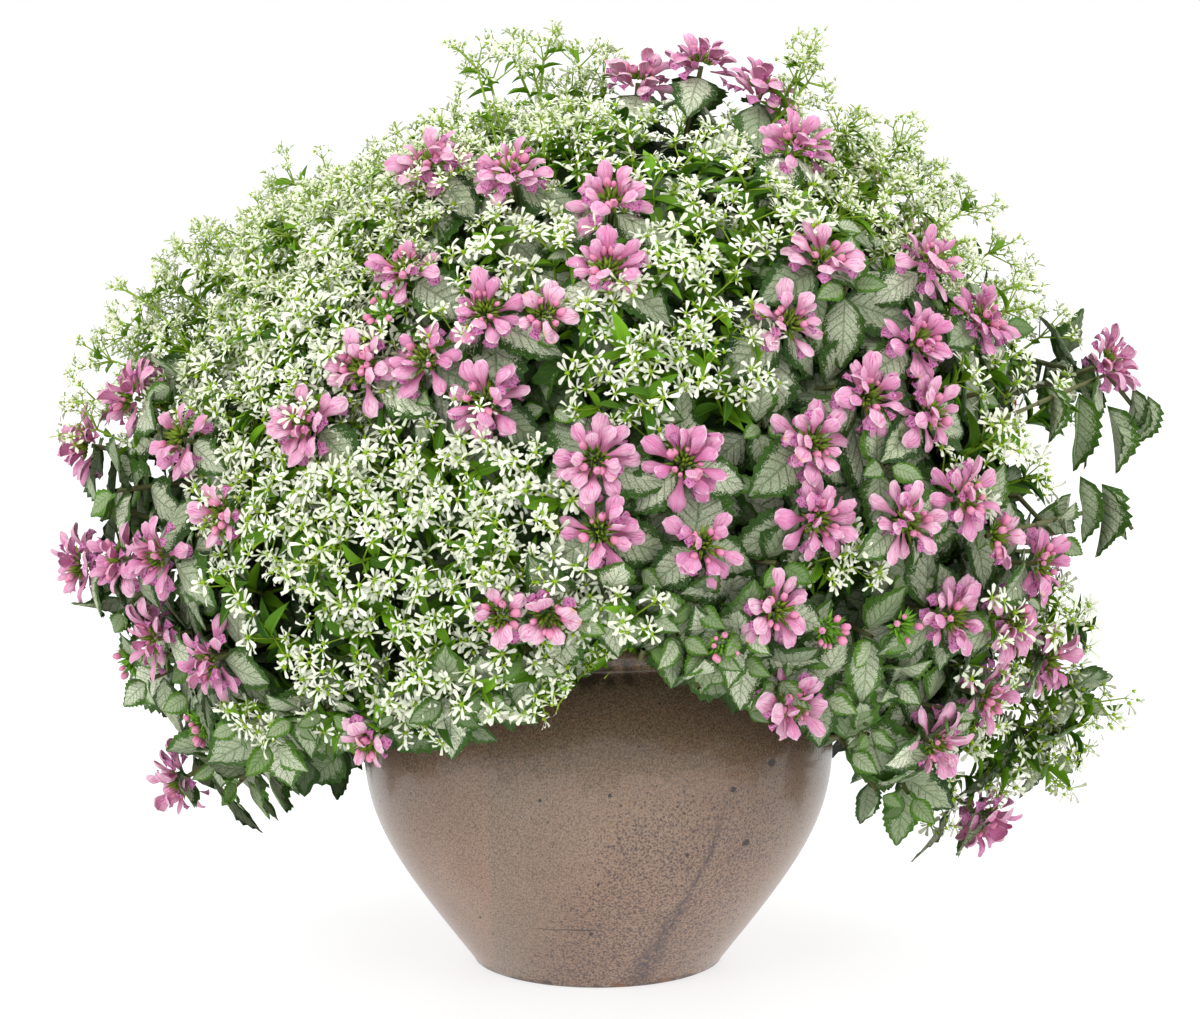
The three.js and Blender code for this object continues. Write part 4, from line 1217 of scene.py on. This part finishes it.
def hang_leaves(piece):
    """Folded leaves that hang straight down from the trailing shoots."""
    feet = on_canopy([row[:2] for row in HANGING_LEAVES])
    down = unit(np.array([0, 0, -1.0]) + draws.normal(0, 0.16, feet.shape))
    facing = unit(np.array([0.6, -0.7, 0]) + draws.normal(0, 0.35, feet.shape))
    scale = np.array([row[2:] for row in HANGING_LEAVES]) * (1.0, HANGING_WIDTH, 1.0)
    folded = leaf_shape(LEAF_TEETH, LEAF_COLUMNS, 0.15, 1.1, 0.12)
    tint = tints(len(feet), (0.4, 0.9), (0.3, 1.0), (0.1, 0.8))
    piece.stamp(folded, feet, frames_of(down, facing), scale, tint)


def build_leaves(finish, tips, lean, fringe, heads, head_axes):
    """The leaves that show: round the tips, at the edges and below each head."""
    shapes = [leaf_shape(LEAF_TEETH, LEAF_COLUMNS, *values) for values in LEAF_KINDS]
    for name, side, shoots in (("front", FRONT, range(1, 9)), ("back", BACK, range(14, 17))):
        nodes = [f"deadnettle_shoot_{number:02d}" for number in shoots]
        outer = Piece(f"deadnettle_leaves_{name}", finish, "deadnettle_foliage", nodes)
        one = tips[:, 1] * side < 0
        grown = draws.uniform(0.75, 1.1, one.sum())
        leaf_pairs(outer, shapes, tips[one], lean[one], LEAF_GAP, TIP_PAIRS, grown)
        if side == FRONT:
            grown = draws.uniform(0.7, 1.1, len(fringe[0]))
            leaf_pairs(outer, shapes, *fringe, LEAF_GAP, FRINGE_PAIRS, grown)
            hang_leaves(outer)
        near = heads[:, 1] * side < 0
        feet = heads[near] - head_axes[near] * 0.008
        leaf_pairs(outer, shapes, feet, head_axes[near], HEAD_LEAF_GAP, HEAD_PAIRS)
        outer.build()


def build_inner_leaves(finish):
    """Dark leaves behind the outer ones, with little silver as painted shade."""
    way = evenly(INNER_TIPS)
    tips = from_heart(way, draws.uniform(*INNER_SHARES, len(way)))
    airy = in_patches(from_heart(way, OUTER_SHARE), AIRY_FROM, 1)
    tips = np.where(airy[:, None], drawn_in(tips, AIRY_INNER_TIPS[0]), tips)
    lean = unit(way + draws.normal(0, 0.35, way.shape))
    kept = ~airy | (draws.uniform(0, 1, len(tips)) < AIRY_INNER_TIPS[1])
    shapes = [leaf_shape(6, (-1, 0, 1), arch, 0.2, 0.05) for arch in (0.15, 0.3)]
    piece = Piece("inner_leaves", finish, "deadnettle_foliage")
    leaf_pairs(piece, shapes, tips[kept], lean[kept], LEAF_GAP, INNER_PAIRS)
    piece.build()


def build_stems(ends, ways):
    """A stem from the painted shade core to each tip and head, and the trailing shoots."""
    knee = ends - ways * KNEE_BELOW
    starts = from_heart(unit(knee - HEART), STEM_ROOT_SHARE)
    clear = ~(bares_pot(ends) | bares_pot(knee) | bares_pot(starts))
    piece = Piece("deadnettle_stems", stem_finish(), "deadnettle_foliage")
    # The tint's first draw is painted light: the lower stem parts, deep in the plant, are painted darker as
    # shade
    piece.add(rods(knee[clear], ends[clear], STEM_TOP_RADIUS, 4), (0.8, 0, 0))
    piece.add(rods(starts[clear], knee[clear], STEM_FOOT_RADIUS, 4), (0.3, 0, 0))
    for trail in TRAILS:
        path = on_canopy(trail)
        piece.add(rods(path[:-1], path[1:], TRAIL_RADIUS, 4), (0.8, 0, 0))
    piece.build()


def build_foliage(heads, head_axes):
    finish = leaf_finish()
    tips, lean = shoot_tips(heads)
    fringe = fringe_tips()
    build_leaves(finish, tips, lean, fringe, heads, head_axes)
    build_inner_leaves(finish)
    ends = np.concatenate([tips, fringe[0], heads - head_axes * 0.002])
    build_stems(ends, np.concatenate([lean, fringe[1], head_axes]))


def build_painted_shade_core():
    """A rough core deep in the plant, closed below round the pot's mouth: a dark sheet that paints the shade
    inside the plant.
    """
    turn = np.linspace(0, 2 * math.pi, 145)
    flat_way = np.column_stack([np.cos(turn), np.sin(turn), 0 * turn])
    lowest = np.arcsin(skirt(flat_way) + 0.12)
    rise = math.pi / 2 + (lowest - math.pi / 2) * np.linspace(0, 1, 40)[:, None]
    way = np.stack([np.cos(rise) * np.cos(turn), np.cos(rise) * np.sin(turn), np.sin(rise)], axis=2)
    x, y, z = np.moveaxis(way, 2, 0)
    crust = from_heart(way, PAINTED_SHADE_CORE_SHARE + 0.03 * np.sin(23 * x + 5 * z) * np.sin(19 * y - 11 * z))
    mouth = MOUTH_RADIUS * flat_way + (0, 0, MOUTH_HEIGHT)
    inwards = np.linspace(0.15, 1, 6)[:, None, None]
    points = np.concatenate([crust, crust[-1] * (1 - inwards) + mouth * inwards])
    points = outside_pot(points.reshape(-1, 3)).reshape(points.shape)
    points[-1] = mouth
    x, y, z = np.moveaxis(points, 2, 0)
    piece = Piece("painted_shade_core", painted_shade_core_finish(), "deadnettle_foliage")
    piece.add(sheet(x, y, z, x, y))
    piece.build()


# Spurge

def patch_hubs(patches, side):
    """Where sprays stand in each patch, evenly with a little jitter."""
    spots, airy = [], []
    for x, z, wide, tall, loose in patches:
        spacing = SPRAY_SPACING * (1 - 0.12 * loose)
        count = max(3, round(math.pi * wide * tall / spacing**2))
        spot = (x, z) + spiral(count, draws.uniform(0, 6)) * (wide, tall)
        spot += draws.normal(0, 0.18 * spacing, spot.shape)
        spot[:, 1] = np.minimum(spot[:, 1], crown(spot[:, 0]) - draws.uniform(0.004, 0.022, count))
        spots.append(spot)
        airy.append(np.full(count, loose))
    return on_canopy(np.concatenate(spots), side), np.concatenate(airy)


def crest_hubs():
    """Where sprays stand on the crest, which neither viewer sees face on."""
    hubs = []
    for x, y, wide, deep in CREST_PATCHES:
        count = round(math.pi * wide * deep / (0.85 * SPRAY_SPACING) ** 2)
        flat = (x, y) + spiral(count) * (wide, deep)
        rise = 1 - ((flat / (CANOPY_WIDE, CANOPY_DEEP)) ** 2).sum(axis=1)
        hubs.append(np.column_stack([flat, CANOPY_UP * np.sqrt(np.maximum(rise, 0))]))
    return below_crown(HEART + OUTER_SHARE * np.concatenate(hubs), CREST_ROOM)


def all_hubs():
    """Where all sprays fork, their ways up, how airy they are and their side."""
    front, front_airy = patch_hubs(FRONT_PATCHES, FRONT)
    back, back_airy = patch_hubs(BACK_PATCHES, BACK)
    crest, tall = crest_hubs(), on_canopy(TALL_SPRAYS)
    hubs = np.concatenate([front, back, crest])
    airy = np.concatenate([front_airy, back_airy, np.full(len(crest), 0.6)])
    lift = draws.uniform(-0.03, 0.05, len(hubs)) - airy * draws.uniform(0.0, 0.12, len(hubs))
    hubs = np.concatenate([drawn_in(hubs, (1 + lift)[:, None]), tall])
    airy = np.append(airy, np.ones(len(tall)))
    counts = [len(front), len(back) + len(crest), len(tall)]
    side = np.repeat([1, 0, 1], counts)
    out = unit(hubs - HEART)
    ways = unit(out + np.array([0, 0, 0.25]) + draws.normal(0, 0.2, out.shape))
    hubs = hubs - ways * np.repeat([SPRAY_SUNK, SPRAY_SUNK, TALL_SUNK], counts)[:, None]
    clear = ~(bares_pot(hubs) | bares_pot(hubs - 0.05 * ways))
    return hubs[clear], ways[clear], airy[clear], side[clear]


def forked(feet, ways, count, jitter, tilt, reach):
    """Directions and ends of stalks that fork from each foot."""
    way = np.repeat(ways, count, axis=0)
    turn = np.tile(np.arange(count) * 2 * math.pi / count, len(feet)) + draws.uniform(0, jitter, len(way))
    out = around(way, turn, draws.uniform(*tilt, len(way)))
    start = np.repeat(feet, count, axis=0)
    return out, start, start + out * draws.uniform(*reach, len(way))[:, None]


def add_sprays(stars, twigs, hubs, ways, airy, side, kinds, spray):
    """The forked top of each spray: stalks in two steps, and the flowers."""
    branches, twins, reach, size = spray
    branch_way, start, fork = forked(hubs, ways, branches, 1.2, (0.3, 1.2), reach[0])
    clear = ~bares_pot(fork)
    # Branches and stalks lie further out and get lighter tints, as painted light
    twigs.add(rods(start[clear], fork[clear], BRANCH_RADIUS, 3), (0.8, 0, 0))
    star_way, foot, place = forked(fork, branch_way, twins, 2, (0.5, 1.3), reach[1])
    place = outside_pot(place)
    clear = ~bares_pot(place)
    twigs.add(needles(foot[clear], place[clear], STALK_RADIUS), (1.0, 0, 0))
    count = len(place)
    facing = 0.6 * star_way + 0.7 * unit(place - HEART) + np.array([0, 0, 0.35])
    facing = unit(facing + draws.normal(0, 0.5, place.shape))
    size = size * BRACT_LENGTH * draws.uniform(0.75, 1.15, count)
    kind = draws.integers(0, len(kinds), count)
    side = np.repeat(side, branches * twins)
    tint = tints(count, (0.3, 1), (0, 0.5), (0, 1))
    tint[:, 1] = np.clip(tint[:, 1] + 0.5 * np.repeat(airy, branches * twins), 0, 1)
    for which, piece in enumerate(stars):
        for i, shape in enumerate(kinds):
            one = (kind == i) & (side == which)
            frames = frames_of(around(facing[one], draws.uniform(0, 6, one.sum())), facing[one])
            piece.stamp(shape, place[one], frames, size[one], tint[one], by_pot=True)


def add_lances(piece, hubs, ways, per_stem, low, long, bright):
    """Narrow leaves up the stem of each spray."""
    way = np.repeat(ways, per_stem, axis=0)
    count = len(way)
    foot = np.repeat(hubs, per_stem, axis=0) - way * draws.uniform(-0.006, low, count)[:, None]
    turn = draws.uniform(0, 2 * math.pi, count)
    grow = drooping(around(way, turn, draws.uniform(0.2, 0.9, count)), 0.15)
    length = draws.uniform(0.5 * long, long, count)
    kind = draws.integers(0, 2, count)
    tint = tints(count, (bright, 1), (0, 1), (0, 1))
    for i, arch in enumerate((0.1, 0.3)):
        one = kind == i
        scale = length[one, None] * (1.0, LANCE_WIDTH, 1.0)
        frames = frames_of(grow[one], way[one])
        piece.stamp(lance_shape(arch), foot[one], frames, scale, tint[one], by_pot=True)


def build_spurge():
    hubs, ways, airy, side = all_hubs()
    twigs = Piece("spurge_twigs", twig_finish(), "spurge_foliage", nodes_like("spurge_shoot"))
    leaves = Piece("spurge_leaves", lance_finish(), "spurge_foliage")
    stars = [Piece(f"spurge_stars_{name}", star_finish(), "spurge_foliage") for name in ("back", "front")]
    base = hubs - ways * (TOP_TWIG + AIRY_TOP_TWIG * airy)[:, None]
    root = from_heart(unit(base - HEART), STEM_ROOT_SHARE)
    # The tint's first draw is painted light: twigs are painted darker the deeper in the plant they lie, as
    # shade
    twigs.add(rods(base, hubs, TWIG_TOP_RADIUS, 4), (0.6, 0, 0))
    twigs.add(rods(root, base, TWIG_FOOT_RADIUS, 4), (0.3, 0, 0))
    loose = airy > AIRY_FROM
    groups = [~loose, loose]
    fine = [star_shape(*values, True) for values in FINE_STARS]
    plain = [star_shape(*values, False) for values in PLAIN_STARS]
    for one, shapes, spray in zip(groups, (fine, plain), (CLOSE_SPRAY, LOOSE_SPRAY)):
        add_sprays(stars, twigs, hubs[one], ways[one], airy[one], side[one], shapes, spray)
    for one, lances in zip(groups, (CLOSE_LANCES, LOOSE_LANCES)):
        add_lances(leaves, hubs[one], ways[one], *lances)
    for piece in (*stars, twigs, leaves):
        piece.build()


# Surroundings

def put(name, data, place, aim):
    """An object that looks from its place to its aim."""
    holder = bpy.data.objects.new(name, data)
    holder.location = place
    holder.rotation_euler = (Vector(aim) - Vector(place)).to_track_quat("-Z", "Y").to_euler()
    bpy.context.scene.collection.objects.link(holder)
    return holder


def build_stage():
    """A white floor that glows a little, as painted light that washes out the plant's shadow on it, under a
    white sky.
    """
    finish = Finish("floor")
    finish.set(Base_Color=(0.32, 0.32, 0.32), Roughness=0.6)
    # The floor's glow is painted light: it lightens the shadow under the plant and lights the pot and leaves
    # from below
    finish.set(Emission_Color=(1.0, 1.0, 1.0), Emission_Strength=0.72)
    mesh = bpy.data.meshes.new("floor")
    corners = [(x * STAGE_HALF, y * STAGE_HALF, 0) for x, y in ((-1, -1), (1, -1), (1, 1), (-1, 1))]
    mesh.from_pydata(corners, [], [(0, 1, 2, 3)])
    mesh.materials.append(finish.material)
    floor = bpy.data.objects.new("floor", mesh)
    bpy.context.scene.collection.objects.link(floor)

    world = bpy.data.worlds.new("studio")
    world.use_nodes = True
    sky = world.node_tree.nodes["Background"].inputs
    sky["Color"].default_value = (1, 1, 1, 1)
    sky["Strength"].default_value = 1.0
    bpy.context.scene.world = world
    bpy.context.scene.view_settings.view_transform = "Standard"


def add_light(name, place, size, power):
    lamp = bpy.data.lights.new(name, "AREA")
    lamp.shape = "RECTANGLE"
    lamp.size, lamp.size_y = size
    lamp.energy = power
    put(name, lamp, place, LIT_SPOT)


def add_camera():
    camera = bpy.data.cameras.new("camera")
    camera.sensor_width = SENSOR
    camera.lens = FOCAL_PIXELS / PHOTO_WIDTH * SENSOR
    camera.clip_end = 60
    bpy.context.scene.camera = put("camera", camera, VIEWER, AIM)


add_camera()
build_stage()
add_light("key", (-1.6, -2.2, 2.4), (1.6, 1.6), 45)
add_light("fill", (2.4, -1.4, 1.6), (1.4, 1.8), 18)
add_light("top", (0.2, 0.6, 2.8), (2.0, 2.0), 25)
build_pot()
build_soil()
head_places, head_axes = head_table()
build_blooms(head_places, head_axes)
build_foliage(head_places, head_axes)
build_painted_shade_core()
build_spurge()
